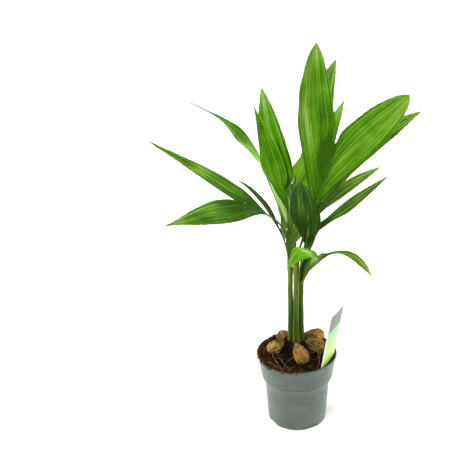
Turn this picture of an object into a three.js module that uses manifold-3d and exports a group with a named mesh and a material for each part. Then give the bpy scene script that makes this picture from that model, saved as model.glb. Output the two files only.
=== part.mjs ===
// A young betel nut palm in its nursery pot: five sprouted nuts that lean on a mound of
// coir, a slim stem from each, and leaves of two pleated blades on thin stalks.
// Millimetres, +Z up. The origin is the middle of the pot's flat underside, and the
// side that faces the viewer is -Y. Headings are degrees round +Z from +X, so 90 is
// the back, 180 the left and -90 the front. A rise is degrees above the level.
import * as THREE from 'three';
import Module from 'manifold-3d';
import { mergeVertices } from 'three/addons/utils/BufferGeometryUtils.js';

const wasm = await Module();
wasm.setup();

// Clearance between any two pieces that touch
const CLEAR = 0.35;

// Pot: a thin moulded shell, a straight body under a wide collar
const POT = {
  height: 113,
  rimRadius: 60,
  lipWidth: 2.6,
  lipHeight: 2.4,
  wall: 1.5,
  floor: 2.2,
  baseRadius: 43.8,
  baseRound: 3,
  bodyTop: 63,
  bodyTopRadius: 48.2,
  stepTop: 69,
  stepRadius: 50.4,
  collarFoot: 77,
  collarRadius: 53.8,
  segments: 40,
};
const DRAIN = { count: 4, width: 20, depth: 3.6, height: 4.5, turn: 32 };

// Soil: near the rim at the back left and lower at the front right, with a mound of
// coir in its middle that the nuts lean on and the stems stand on
const SOIL = {
  level: 107, tilt: 4.8, tiltHeading: 140,
  mound: 14.6, moundMiddle: [-2, 22.5], moundRadius: 14.5,
  wallGap: 0.7, rings: 8, segments: 32,
};
const GROUND = SOIL.level + SOIL.mound + CLEAR;

// Sprouted nuts: where each one's middle lies, the way its outer end points and how far
// that end dips, its length and its girth
const NUT = { fatter: 0.14, rings: 9, sides: 12 };
const NUTS = [
  { name: 'nut_left', middle: [-31, 11, 116.5], heading: 222, dip: 6, length: 33, width: 20 },
  { name: 'nut_back_left', middle: [-20.5, 39, 117], heading: 112, dip: 4, length: 25, width: 18 },
  { name: 'nut_front', middle: [4.8, -10, 117], heading: -67, dip: 24, length: 38, width: 22 },
  { name: 'nut_right', middle: [27.5, 13.5, 118], heading: -27, dip: 5, length: 35, width: 21 },
  { name: 'nut_back_right', middle: [25.5, 38.5, 120], heading: 4, dip: 0, length: 34, width: 20 },
];

// Stems: foot on the mound, top in the air, diameter at the foot and at the top
const STEM = { swell: 1.18, swellShare: 0.1, sides: 10, shares: [0, 0.04, 0.1, 0.3, 0.5, 0.7, 0.88, 1] };
const STEMS = {
  left: { foot: [-9.2, 20], top: [-10, 3, 256], width: [7.6, 7] },
  front: { foot: [-1.2, 13], top: [-1.4, -1, 262], width: [8.4, 7.6] },
  right: { foot: [6.4, 22], top: [6.2, 9, 246], width: [7, 7] },
  back: { foot: [1, 31.5], top: [-0.5, 20, 266], width: [7.4, 7.6] },
  back_left: { foot: [-8.8, 29.6], top: [-10.5, 20, 258], width: [7, 7.6] },
};

// Stalks: a limb from the stem's tip to the heel of the leaf, and on as its midrib.
// upright and comeIn are how far it holds its first and last direction, as shares of
// the straight way from foot to heel.
const STALK = {
  footRadius: 1.6, heelRadius: 1.4, endRadius: 0.9, footRing: 2.1, upright: 0.4, comeIn: 0.35,
  sides: 6, steps: 7,
};

// Blade's root edge from the midrib's axis, where the leaf gives no gap of its own
const MIDRIB_GAP = 2.05;

// Blades: one side of a leaf. Its root lies along the midrib from heel to notch, its
// ribs run from there to the tip, and it is widest at the share `widest` of its length.
const BLADE = { steps: 12, strips: 4, thick: 0.0112, join: 0.36, cup: 0.12, pleat: 0.014, tip: 0.8 };

// Leaves. spring: the stem, and the way the stalk stands off its axis (or the height
// where it leaves the stem's side). heel: where the blades begin. midrib: heading,
// rise, length. Each blade: leave and tip are [heading, rise] with the tip's reach from
// the middle of the root, lead is how far it holds its first direction, face is the way
// its upper side looks (faceTip at the tip), and taper how sharply it ends.
const LEAVES = [
  { name: 'crown_front', stem: 'front', spring: 0, heel: [22, 4, 348], midrib: [35, 69, 106], blades: [
    { name: 'left', leave: [119, 73], lead: 0.56, tip: [137, 86], reach: 205, width: 54, face: [-95, 12],
      widest: 0.3, taper: 0.7, join: 0.42 },
    { name: 'right', leave: [45, 38], lead: 0.2, tip: [-3, 48], reach: 178, width: 55, face: [-75, 28],
      widest: 0.58, taper: 0.57, join: 0.6 },
  ] },
  { name: 'crown_back', stem: 'back', spring: 0, heel: [31, 38, 329], midrib: [45, 69, 95], blades: [
    { name: 'left', leave: [110, 67], lead: 0.65, tip: [68, 79], reach: 184, width: 30, face: [-110, 10],
      widest: 0.45, taper: 0.8, join: 0.45 },
    { name: 'right', leave: [45, 30], lead: 0.47, tip: [4, 39], reach: 175, width: 34, face: [-80, 22],
      widest: 0.45, taper: 0.9, join: 0.45 },
  ] },
  { name: 'middle', stem: 'back', spring: 150, heel: [-4, 42, 327], midrib: [106, 71, 44], blades: [
    { name: 'right', leave: [54, 36], lead: 0.39, tip: [37, 55], reach: 164, width: 47, face: [-70, 10],
      widest: 0.31, taper: 0.9, join: 0.3 },
    { name: 'back', leave: [110, 40], lead: 0.82, tip: [108, 37], reach: 142, width: 28, face: [-110, 30],
      widest: 0.45, taper: 0.9, gap: 2.25 },
  ] },
  { name: 'upright', stem: 'front', spring: 180, heel: [-12, -2, 349], midrib: [152, 85, 32], blades: [
    { name: 'right', leave: [135, 58], lead: 0.29, tip: [139, 74], reach: 174, width: 45, face: [-70, 10],
      widest: 0.43, taper: 0.74, gap: 2.5, join: 0.3 },
    { name: 'left', leave: [-170, 74], lead: 0.6, tip: [-170, 73], reach: 169, width: 28, face: [-100, 14],
      widest: 0.36, taper: 1.6, gap: 2.3, join: 0.25 },
  ] },
  { name: 'left_arch', stem: 'back_left', spring: -90, heel: [-15, 31, 313], midrib: [173, 69, 91], blades: [
    { name: 'left', leave: [-174, 76], lead: 0.58, tip: [-163, 54], reach: 208, width: 34, face: [-166, 4],
      faceTip: [-90, 60], widest: 0.22, taper: 2.2, gap: 2.5, join: 0.28 },
    { name: 'back', leave: [80, 52], lead: 0.52, tip: [95, 57], reach: 101, width: 32, face: [-30, -10],
      widest: 0.45, taper: 0.9, root: [0, 0.85] },
  ] },
  { name: 'left_low', stem: 'left', spring: 150, heel: [-39, -20, 355], midrib: [-152, 38, 54], blades: [
    { name: 'upper', leave: [-166, 47], lead: 0.3, tip: [-175, 37], reach: 188, width: 25, face: [-90, 60],
      widest: 0.3, taper: 0.8, gap: 2.6, root: [0, 0.88], join: 0.32 },
    { name: 'lower', leave: [-120, 34], lead: 0.2, tip: [-141, 9], reach: 165, width: 44, face: [-100, 55],
      widest: 0.52, taper: 1.4, gap: 2, join: 0.5 },
  ] },
  { name: 'left_thin', stem: 'back_left', spring: 160, heel: [-18, 28, 286], midrib: [140, 65, 22], blades: [
    { name: 'left', leave: [156, 67], lead: 0.63, tip: [161, 49], reach: 106, width: 11, face: [-30, 20],
      widest: 0.45, taper: 1.1 },
    { name: 'back', leave: [85, 39], lead: 0.57, tip: [93, 25], reach: 110, width: 22, face: [-110, 50],
      widest: 0.45, taper: 0.9, gap: 2.3 },
  ] },
  { name: 'middle_low', stem: 'left', spring: -30, heel: [-13, -11, 285], midrib: [-167, 84, 40], blades: [
    { name: 'right', leave: [-8, 66], lead: 0.58, tip: [-1, 63], reach: 83, width: 34, face: [-110, 30],
      widest: 0.45, taper: 0.8 },
  ] },
  { name: 'front_dark', stem: 'right', spring: -110, heel: [13, -17, 298], midrib: [-85, 75, 55], blades: [
    { name: 'left', leave: [-103, 74], lead: 0.35, tip: [-101, 67], reach: 128, width: 39, face: [-95, 20],
      widest: 0.51, taper: 0.6, join: 0.6, root: [0, 0.7] },
    { name: 'right', leave: [-26, 58], lead: 0.5, tip: [-72, 81], reach: 88, width: 18, face: [-75, 20],
      widest: 0.5, taper: 0.75, gap: 2.2, root: [0, 0.4], join: 0.45 },
  ] },
  { name: 'right_pair', stem: 'right', spring: 0, heel: [27, -7, 321], midrib: [24, 81, 48], blades: [
    { name: 'upper', leave: [5, 45], lead: 0.47, tip: [8, 35], reach: 106, width: 18, face: [-90, 50],
      widest: 0.45, taper: 0.9, root: [0.6, 1] },
    { name: 'lower', leave: [-24, 43], lead: 0.47, tip: [-21, 44], reach: 146, width: 16, face: [-90, 50],
      widest: 0.5, taper: 0.9, root: [0, 0.3] },
  ] },
  { name: 'small_low', stem: 'right', sideHeight: 222, heel: [10, -7, 243], midrib: [-45, 61, 59], blades: [
    { name: 'front', leave: [-112, 59], lead: 0.68, tip: [-119, 18], reach: 87, width: 34, face: [-105, 55],
      widest: 0.35, taper: 1.1, gap: 1.7, root: [0.5, 1], join: 0.3 },
    { name: 'right', leave: [31, 30], lead: 0.73, tip: [0, -14], reach: 89, width: 12, face: [-80, 54],
      widest: 0.74, taper: 1.1, root: [0.3, 1], join: 0.25 },
  ] },
  { name: 'back_right', stem: 'right', spring: 110, heel: [18, 58, 298], midrib: [80, 38, 33], blades: [
    { name: 'back', leave: [92, 39], lead: 0.64, tip: [87, 34], reach: 151, width: 36, face: [-120, 60],
      widest: 0.45, taper: 0.9 },
    { name: 'right', leave: [64, 30], lead: 0.54, tip: [52, 26], reach: 135, width: 34, face: [-60, 60],
      widest: 0.45, taper: 0.9 },
  ] },
  { name: 'back_low', stem: 'back_left', spring: 40, heel: [-6, 56, 279], midrib: [84, 49, 21], blades: [
    { name: 'left', leave: [104, 14], lead: 0.51, tip: [99, 4], reach: 124, width: 24, face: [-120, 60],
      widest: 0.45, taper: 0.9 },
    { name: 'right', leave: [64, 10], lead: 0.5, tip: [70, 4], reach: 129, width: 28, face: [-60, 60],
      widest: 0.45, taper: 0.9 },
  ] },
];

// Care tag: a thin plate stuck in at the front right, leaning out, with a pointed foot
const TAG = {
  width: 45, above: 89, below: 36, point: 12, taperFrom: 13, corner: 3, thick: 1, slotGap: 0.5,
  middle: [46.7, -22.2], heading: -25.5, lean: 8.5,
};

const MATERIALS = {
  pot: { color: 0x6f7a6f, roughness: 0.55 },
  soil: { color: 0x2b1d12, roughness: 0.95 },
  nut: { color: 0xa9743c, roughness: 0.85 },
  stem: { color: 0x6d8a33, roughness: 0.5 },
  stalk: { color: 0x5f8a30, roughness: 0.5 },
  blade: { color: 0x4f8f24, roughness: 0.4 },
  tag: { color: 0xbfe3b0, roughness: 0.35 },
};

const part = new THREE.Group();

function addPiece(name, geometry, finish) {
  const material = new THREE.MeshStandardMaterial({ ...MATERIALS[finish], metalness: 0 });
  const mesh = new THREE.Mesh(geometry, material);
  mesh.name = name;
  part.add(mesh);
}

// A closed geometry as a solid for cutting, and back again
function toSolid(geometry) {
  const bare = geometry.clone();
  bare.deleteAttribute('normal');
  bare.deleteAttribute('uv');
  const merged = mergeVertices(bare, 1e-4);
  return new wasm.Manifold(new wasm.Mesh({
    numProp: 3,
    vertProperties: new Float32Array(merged.attributes.position.array),
    triVerts: new Uint32Array(merged.index.array),
  }));
}

function fromSolid(solid) {
  const mesh = solid.getMesh();
  const geometry = new THREE.BufferGeometry();
  geometry.setAttribute('position', new THREE.BufferAttribute(new Float32Array(mesh.vertProperties), 3));
  geometry.setIndex(new THREE.BufferAttribute(new Uint32Array(mesh.triVerts), 1));
  return geometry;
}

// Unit vector of a heading and a rise
function aim([heading, rise]) {
  const h = THREE.MathUtils.degToRad(heading);
  const r = THREE.MathUtils.degToRad(rise);
  return new THREE.Vector3(Math.cos(r) * Math.cos(h), Math.cos(r) * Math.sin(h), Math.sin(r));
}

function mix(a, b, share) {
  return a + (b - a) * share;
}

// 0 to 1 with level ends
function ease(t) {
  const s = Math.min(Math.max(t, 0), 1);
  return s * s * (3 - 2 * s);
}

// A closed skin over rings of points, each joined to the next. The end rings are
// filled by strips between the first half of their points and the second. A skin
// that comes out inside out is turned, so that its faces point outwards.
function skin(rings) {
  const sides = rings[0].length;
  const last = (rings.length - 1) * sides;
  const index = [];
  for (let a = 0; a < last; a += 1) {
    const b = a % sides === sides - 1 ? a + 1 - sides : a + 1;
    index.push(a, b, b + sides, a, b + sides, a + sides);
  }
  for (let j = 0; j + 1 < sides / 2; j += 1) {
    const k = sides - 1 - j;
    index.push(j, k, k - 1, j, k - 1, j + 1);
    index.push(last + j, last + j + 1, last + k - 1, last + j, last + k - 1, last + k);
  }
  const points = rings.flat();
  let volume = 0;
  for (let i = 0; i < index.length; i += 3) {
    const [a, b, c] = index.slice(i, i + 3).map((k) => points[k]);
    volume += a.dot(b.clone().cross(c));
  }
  const geometry = new THREE.BufferGeometry().setFromPoints(points);
  geometry.setIndex(volume < 0 ? index.reverse() : index);
  return geometry;
}

// A tapering limb: rings square to its path, apart from its first ring and, where the
// limb ends in a flat top, its last, which lie level
function limb(points, radii, sides, flatTop = false) {
  const side = new THREE.Vector3();
  const lift = new THREE.Vector3();
  const along = new THREE.Vector3();
  const rings = points.map((point, i) => {
    const before = points[Math.max(i - 1, 0)];
    const after = points[Math.min(i + 1, points.length - 1)];
    along.subVectors(after, before).normalize();
    if (i === 0 || (flatTop && i === points.length - 1)) along.set(0, 0, 1);
    side.crossVectors(new THREE.Vector3(0, 1, 0), along).normalize();
    lift.crossVectors(along, side);
    return Array.from({ length: sides }, (_, j) => {
      const turn = (2 * Math.PI * j) / sides;
      return point.clone()
        .addScaledVector(side, radii[i] * Math.cos(turn))
        .addScaledVector(lift, radii[i] * Math.sin(turn));
    });
  });
  return skin(rings);
}

// Inside of the pot as heights and radii, from its floor to below its lip
const POT_INSIDE = [
  [POT.floor, POT.baseRadius - POT.wall - 1],
  [POT.baseRound, POT.baseRadius - POT.wall],
  [POT.bodyTop, POT.bodyTopRadius - POT.wall],
  [POT.stepTop, POT.stepRadius - POT.wall],
  [POT.collarFoot, POT.collarRadius - POT.wall],
  [POT.height - POT.lipHeight, POT.rimRadius - POT.lipWidth / 2 - POT.wall],
];

// Inner radius of the pot at a height below its lip
function potInside(z) {
  const next = Math.max(POT_INSIDE.findIndex(([height]) => z <= height), 1);
  const [lowZ, lowRadius] = POT_INSIDE[next - 1];
  const [highZ, highRadius] = POT_INSIDE[next];
  return mix(lowRadius, highRadius, (z - lowZ) / (highZ - lowZ));
}

// Pot: a profile from the middle of the underside, up the outside, over the lip and
// down the inside, turned round Z, with drain slots cut through the foot of the wall
function potGeometry() {
  const p = POT;
  const profile = [[0, 0]];
  for (const turn of [0, 30, 60, 90]) {
    const t = THREE.MathUtils.degToRad(turn);
    profile.push([p.baseRadius - p.baseRound * (1 - Math.sin(t)), p.baseRound * (1 - Math.cos(t))]);
  }
  profile.push(
    [p.bodyTopRadius, p.bodyTop],
    [p.stepRadius, p.stepTop],
    [p.collarRadius, p.collarFoot],
    [p.rimRadius - p.lipWidth / 2, p.height - p.lipHeight],
    [p.rimRadius, p.height - p.lipHeight],
    [p.rimRadius, p.height],
    [p.rimRadius - p.lipWidth, p.height],
    ...POT_INSIDE.map(([z, radius]) => [radius, z]).reverse(),
    [0, p.floor],
  );
  const turned = new THREE.LatheGeometry(profile.map(([x, y]) => new THREE.Vector2(x, y)), p.segments);
  turned.rotateX(Math.PI / 2);
  let solid = toSolid(turned);
  for (let i = 0; i < DRAIN.count; i += 1) {
    const slot = new THREE.BoxGeometry(DRAIN.depth * 2, DRAIN.width, DRAIN.height * 2);
    slot.translate(p.baseRadius, 0, 0);
    slot.rotateZ(THREE.MathUtils.degToRad(DRAIN.turn + (i * 360) / DRAIN.count));
    solid = solid.subtract(toSolid(slot));
  }
  return fromSolid(solid);
}

// Height of the soil: a sloping disc that rises to the flat-topped mound
function soilHeight(x, y) {
  const t = THREE.MathUtils.degToRad(SOIL.tiltHeading);
  const slope = (SOIL.tilt * (x * Math.cos(t) + y * Math.sin(t))) / POT.rimRadius;
  const off = Math.hypot(x - SOIL.moundMiddle[0], y - SOIL.moundMiddle[1]);
  const mound = 1 - ease(off / SOIL.moundRadius - 1);
  return SOIL.level + slope * (1 - mound) + SOIL.mound * mound;
}

// Nut: an egg, thicker towards its outer end, which dips into the soil
function nutGeometry(nut, grow) {
  const profile = Array.from({ length: NUT.rings + 1 }, (_, i) => {
    const turn = (Math.PI * i) / NUT.rings;
    const radius = (nut.width / 2 + grow) * Math.sin(turn) * (1 - NUT.fatter * Math.cos(turn));
    return new THREE.Vector2(i % NUT.rings === 0 ? 0 : radius, -Math.cos(turn) * (nut.length / 2 + grow));
  });
  const egg = new THREE.LatheGeometry(profile, NUT.sides);
  egg.rotateZ(-Math.PI / 2);
  egg.rotateY(THREE.MathUtils.degToRad(nut.dip));
  egg.rotateZ(THREE.MathUtils.degToRad(nut.heading));
  egg.translate(...nut.middle);
  return egg;
}

// Tag: an outline across and up from the rim's height, with cut corners above and a
// pointed foot below, stood up, leant out and turned to its heading
function tagGeometry(grow) {
  const half = TAG.width / 2 + grow;
  const right = [
    [TAG.point / 2, -TAG.below - grow],
    [half, -TAG.taperFrom],
    [half, TAG.above - TAG.corner],
    [half - TAG.corner, TAG.above],
  ];
  const left = right.map(([x, y]) => [-x, y]).reverse();
  const outline = new THREE.Shape([...right, ...left].map(([x, y]) => new THREE.Vector2(x, y)));
  const thick = TAG.thick + 2 * grow;
  const plate = new THREE.ExtrudeGeometry(outline, { depth: thick, bevelEnabled: false });
  plate.translate(0, 0, -thick / 2);
  plate.rotateX(Math.PI / 2);
  plate.rotateZ(Math.PI / 2);
  plate.rotateY(THREE.MathUtils.degToRad(TAG.lean));
  plate.rotateZ(THREE.MathUtils.degToRad(TAG.heading));
  plate.translate(TAG.middle[0], TAG.middle[1], POT.height);
  return plate;
}

// Soil: a profile from the middle of its underside up the pot's inner wall and back
// over a flat top, whose points then take the soil's height, cut clear of nuts and tag
function soilGeometry() {
  const floor = POT.floor + CLEAR;
  const heights = [floor, POT.baseRound, POT.bodyTop, POT.stepTop, POT.collarFoot];
  const profile = [[0, floor], ...heights.map((z) => [potInside(z) - SOIL.wallGap, z])];
  const edge = potInside(SOIL.level - SOIL.tilt) - SOIL.wallGap;
  for (let i = SOIL.rings; i >= 0; i -= 1) profile.push([(edge * i) / SOIL.rings, SOIL.level]);
  const heap = new THREE.LatheGeometry(profile.map(([x, y]) => new THREE.Vector2(x, y)), SOIL.segments);
  heap.rotateX(Math.PI / 2);
  const spot = heap.attributes.position;
  for (let i = 0; i < spot.count; i += 1) {
    if (spot.getZ(i) > POT.collarFoot + 1) spot.setZ(i, soilHeight(spot.getX(i), spot.getY(i)));
  }
  let solid = toSolid(heap);
  for (const nut of NUTS) solid = solid.subtract(toSolid(nutGeometry(nut, CLEAR)));
  return fromSolid(solid.subtract(toSolid(tagGeometry(TAG.slotGap))));
}

// Where a stem's axis is at a height, and how thick it is there
function stemAt(stem, z) {
  const share = (z - GROUND) / (stem.top[2] - GROUND);
  const x = mix(stem.foot[0], stem.top[0], share);
  const y = mix(stem.foot[1], stem.top[1], share);
  return { point: new THREE.Vector3(x, y, z), radius: mix(stem.width[0], stem.width[1], share) / 2 };
}

// Stem: a swollen foot that draws in over its first centimetres, then a slim shaft
function stemGeometry(stem) {
  const stations = STEM.shares.map((share) => stemAt(stem, mix(GROUND, stem.top[2], share)));
  const swelling = STEM.shares.map((share) => mix(STEM.swell, 1, ease(share / STEM.swellShare)));
  const radii = stations.map((at, i) => at.radius * swelling[i]);
  return limb(stations.map((at) => at.point), radii, STEM.sides, true);
}

// Where a leaf's stalk starts: on its stem's flat top, or close beside the stem
function stalkFoot(leaf) {
  const stem = STEMS[leaf.stem];
  if (leaf.sideHeight === undefined) {
    const off = aim([leaf.spring, 0]).multiplyScalar(STALK.footRing);
    return new THREE.Vector3(...stem.top).add(off).add(new THREE.Vector3(0, 0, CLEAR));
  }
  const at = stemAt(stem, leaf.sideHeight);
  const out = new THREE.Vector3(leaf.heel[0] - at.point.x, leaf.heel[1] - at.point.y, 0).normalize();
  return at.point.addScaledVector(out, at.radius + CLEAR + STALK.footRadius);
}

// Stalk: leaves its stem upright, bends over to the heel, and runs on as the midrib
function stalkGeometry(leaf) {
  const foot = stalkFoot(leaf);
  const heel = new THREE.Vector3(...leaf.heel);
  const rib = aim(leaf.midrib);
  const span = foot.distanceTo(heel);
  const bend = new THREE.CubicBezierCurve3(
    foot,
    foot.clone().add(new THREE.Vector3(0, 0, STALK.upright * span)),
    heel.clone().addScaledVector(rib, -STALK.comeIn * span),
    heel,
  );
  const points = bend.getPoints(STALK.steps);
  const radii = points.map((_, i) => mix(STALK.footRadius, STALK.heelRadius, i / STALK.steps));
  for (const share of [0.5, 1]) {
    points.push(heel.clone().addScaledVector(rib, share * leaf.midrib[2]));
    radii.push(mix(STALK.heelRadius, STALK.endRadius, share));
  }
  return limb(points, radii, STALK.sides);
}

// Half the width of a blade at a share of its length
function halfWidth(blade, share) {
  const rise = (blade.taper * blade.widest) / (1 - blade.widest);
  const grown = (Math.max(share, 1e-6) / blade.widest) ** rise;
  const fallen = ((1 - share) / (1 - blade.widest)) ** blade.taper;
  return Math.max((blade.width / 2) * grown * fallen, BLADE.tip / 2);
}

// One row across a blade: its middle, the half width as a vector from the inner edge to
// the outer one, and its upward normal. The row turns from lying along the midrib at
// the root to lying square to the blade's own line.
function bladeRow(leaf, blade, share) {
  const rib = aim(leaf.midrib);
  const [from, to] = blade.root ?? [0, 1];
  const rootHalf = (leaf.midrib[2] * (to - from)) / 2;
  const root = new THREE.Vector3(...leaf.heel).addScaledVector(rib, (leaf.midrib[2] * (from + to)) / 2);
  const first = aim(blade.leave);
  const off = first.clone().addScaledVector(rib, -first.dot(rib)).normalize();
  const line = new THREE.QuadraticBezierCurve3(
    root,
    root.clone().addScaledVector(first, blade.lead * blade.reach),
    root.clone().addScaledVector(aim(blade.tip), blade.reach),
  );
  const middle = line.getPoint(share).addScaledVector(off, (blade.gap ?? MIDRIB_GAP) * (1 - share) ** 2);
  const along = line.getTangent(share);
  const face = aim(blade.face).lerp(aim(blade.faceTip ?? blade.face), share).normalize();
  const across = new THREE.Vector3().crossVectors(face, along).normalize();
  if (new THREE.Vector3().crossVectors(aim(blade.face), line.getTangent(0)).dot(rib) > 0) across.negate();
  const turned = ease(share / (blade.join ?? BLADE.join));
  const half = rib.clone().multiplyScalar(-(1 - turned) * rootHalf)
    .addScaledVector(across, turned * halfWidth(blade, share));
  const normal = new THREE.Vector3().crossVectors(along, across).normalize();
  if (normal.dot(face) < 0) normal.negate();
  return { middle, half, normal, turned };
}

// Blade: rows of points from edge to edge, cupped and lightly pleated, with a thickness
function bladeGeometry(leaf, blade) {
  const thick = blade.reach * BLADE.thick;
  const rings = [];
  for (let i = 0; i <= BLADE.steps; i += 1) {
    const { middle, half, normal, turned } = bladeRow(leaf, blade, i / BLADE.steps);
    const spread = half.length() * turned;
    const upper = [];
    const lower = [];
    for (let j = 0; j <= BLADE.strips; j += 1) {
      const v = (2 * j) / BLADE.strips - 1;
      const lift = spread * (BLADE.cup * (v * v - 0.5) + 2 * BLADE.pleat * Math.cos(2 * Math.PI * v));
      const point = middle.clone().addScaledVector(half, v).addScaledVector(normal, lift);
      upper.push(point.clone().addScaledVector(normal, thick / 2));
      lower.unshift(point.addScaledVector(normal, -thick / 2));
    }
    rings.push([...upper, ...lower]);
  }
  return skin(rings);
}

addPiece('pot', potGeometry(), 'pot');
addPiece('soil', soilGeometry(), 'soil');
for (const nut of NUTS) addPiece(nut.name, fromSolid(toSolid(nutGeometry(nut, 0))), 'nut');
for (const [name, stem] of Object.entries(STEMS)) {
  addPiece(`stem_${name}`, stemGeometry(stem), 'stem');
}
for (const leaf of LEAVES) {
  addPiece(`stalk_${leaf.name}`, stalkGeometry(leaf), 'stalk');
  for (const blade of leaf.blades) {
    addPiece(`blade_${leaf.name}_${blade.name}`, bladeGeometry(leaf, blade), 'blade');
  }
}
addPiece('care_tag', fromSolid(toSolid(tagGeometry(0))), 'tag');

export default part;
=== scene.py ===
"""Potted betel nut palm: the finish of the plant, its nuts, coir, pot and tag.

The packed model is the frame. Each solid is replaced by a finer surface in the same
place: pleated blades, channelled stalks, sheathed stems, fibrous nuts, coir, a moulded
pot and a blank care tag. The surfaces are grids of points worked out with numpy. The
tables hold millimetres and degrees, as the part does; the meshes are in metres.
Headings are degrees round +Z from +X, so -90 faces the viewer. A rise is degrees above
the level.
"""
from typing import NamedTuple

import bpy
import numpy as np
from bpy.props import FloatProperty, FloatVectorProperty, IntProperty, PointerProperty
from mathutils import Matrix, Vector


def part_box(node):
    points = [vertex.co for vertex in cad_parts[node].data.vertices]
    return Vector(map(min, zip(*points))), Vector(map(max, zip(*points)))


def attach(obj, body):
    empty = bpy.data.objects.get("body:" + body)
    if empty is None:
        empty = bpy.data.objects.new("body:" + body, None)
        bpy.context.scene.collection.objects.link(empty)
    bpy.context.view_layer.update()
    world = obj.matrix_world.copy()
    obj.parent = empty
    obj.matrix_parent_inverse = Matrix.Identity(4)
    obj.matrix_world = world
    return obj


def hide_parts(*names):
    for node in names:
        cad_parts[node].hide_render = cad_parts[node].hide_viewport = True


bl_info = {
    "name": "Potted betel nut palm",
    "version": (1, 0, 0),
    "blender": (4, 5, 0),
    "location": "3D View > Sidebar > Potted palm",
    "description": "Dresses the frame of a potted betel nut palm with fine surfaces",
    "category": "Object",
}

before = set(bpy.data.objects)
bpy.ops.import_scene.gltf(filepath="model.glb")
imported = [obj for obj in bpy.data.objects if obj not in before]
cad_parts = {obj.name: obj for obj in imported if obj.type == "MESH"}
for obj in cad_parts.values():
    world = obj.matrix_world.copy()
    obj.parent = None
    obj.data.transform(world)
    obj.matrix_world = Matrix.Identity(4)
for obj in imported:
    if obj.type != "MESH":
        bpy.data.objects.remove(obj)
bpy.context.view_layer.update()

MM = 0.001

# Pot, from the frame where the frame has it
POT_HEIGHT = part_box("pot")[1].z / MM
RIM_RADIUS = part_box("pot")[1].x / MM
BASE_RADIUS = 43.8
BASE_ROUND = 3
DRAIN = {"count": 4, "width": 20, "depth": 3.6, "height": 4.5, "turn": 32}
# Crease along the front of the collar: its spread is in degrees, and a share of it stays at the back
CREASE = {"height": 78.4, "breadth": 0.8, "depth": 0.8, "spread": 40, "back": 0.15}

# Soil: a tilted disc with a flat-topped mound of coir
SOIL = {"level": 107, "tilt": 4.8, "heading": 140, "mound": 14.6, "middle": (-2, 22.5), "radius": 14.5}
# Height at which the stems leave the mound
GROUND = 121.95
# Headings of a full turn, for loose matter
ALL_ROUND = (-180, 180)
# Coir strands: usual bow and swing as shares of the length, reach past the rim in mm, and taper
STRAND = {"bow": 0.16, "swing": 0.06, "overhang": 1.4, "taper": 0.6}

# Nuts: middle, heading and dip of the outer end, length, width, kind of husk and how slim the neck is
NUTS = {
    "nut_left": ((-31, 11, 116.5), 222, 6, 33, 20, "straw", 0.2),
    "nut_back_left": ((-20.5, 39, 117), 112, 4, 25, 18, "brown", 0.1),
    "nut_front": ((4.8, -10, 117), -67, 24, 38, 22, "tan", 0.3),
    "nut_right": ((27.5, 13.5, 118), -27, 5, 35, 21, "brown", 0.15),
    "nut_back_right": ((25.5, 38.5, 120), 4, 0, 34, 20, "tan", 0.2),
}
NUT_FATTER = 0.14
# Ridges along a husk: the size of each kind, and its share of the ridges' height
RIDGES = ((7, 0.5), (3.6, 0.45), (2, 0.3))

# Stems: foot on the mound, top in the air, diameter at the foot and at the top
STEMS = {
    "left": ((-9.2, 20), (-10, 3, 256), (7.6, 7)),
    "front": ((-1.2, 13), (-1.4, -1, 262), (8.4, 7.6)),
    "right": ((6.4, 22), (6.2, 9, 246), (7, 7)),
    "back": ((1, 31.5), (-0.5, 20, 266), (7.4, 7.6)),
    "back_left": ((-8.8, 29.6), (-10.5, 20, 258), (7, 7.6)),
}
STEM_SWELL, STEM_SWELL_SHARE = 1.18, 0.1
# Depth of a foot in the mound, waver of the axis and its length, and height of the brown foot
STEM = {"sunk": 4, "waver": 0.35, "waver_length": 70, "brown": 9}
# A common stem's radius, for the steps, and one for lengths round it
STEM_RADIUS, STEM_ROUND = 3.6, 3.7
# Where the sheaths' mouths are, as shares of a stem's height, and how far they vary
MOUTHS, MOUTH_VARIES = (0.16, 0.42, 0.7), 0.06
# A mouth's slant, the height over which it steps in, and the breadth of its brown edge
MOUTH = {"slant": 7, "step": 1.6, "edge": 1.3}

# Stalks: radii at the foot, the heel and the midrib's end, the foot's distance from the stem's axis and
# height over its top, and how far the bend's ends hold their lines, as shares of its span
STALK = {"foot": 1.6, "heel": 1.4, "end": 0.45, "ring": 2.1, "rise": 0.35, "upright": 0.4, "come_in": 0.35}
# A stalk's sheathing foot on a stem's top and on its side: drop, share of the way in, and flare
FEET = {"top": (14, 0.3, 0.85), "side": (16, 0.55, 0.5)}
# The radius for lengths round a stalk, and the heights over which its foot's flare and brown fade
STALK_ROUND, FLARE_FADES, BROWN_FADES = 1.5, 11, 8
# Share of its radius that a rod's first and last ring have
BLUNT = 0.4

# Blades: the root edge's distance from the midrib's axis, the cup's depth as a share of half the
# width, how sharp the pleats are, and the heights of the margin's waves and of the broad bumps
BLADE = {"off": 0.7, "cup": 0.12, "sharp": 0.6, "wave": 0.5, "bump": 0.8, "bump_size": 60}
# Teeth of a blade's margin: millimetres from one to the next, the share of the length where they begin
# and the share over which they grow, and the slow ripple of the half width, as a share of it
TEETH = {"every": 9, "begin": 0.55, "grow": 0.25, "ripple": 0.02}
# Millimetres along a blade for each radian of that ripple
RIPPLE_LENGTH = 8
# The share of its thickness that a blade loses towards its margins
THINNER = 0.65


class Leaf(NamedTuple):
    """A leaf, by the rule of the part."""

    name: str
    # Its stem, and the heading in which its stalk springs from the stem's top
    stem: str
    spring: float
    # Where the blades begin, and the midrib's heading, rise and length from there
    heel: tuple
    midrib: tuple
    # Kind of green
    tone: str
    blades: list
    # Height on the stem, for a stalk that leaves its side
    side_height: float = None


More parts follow.
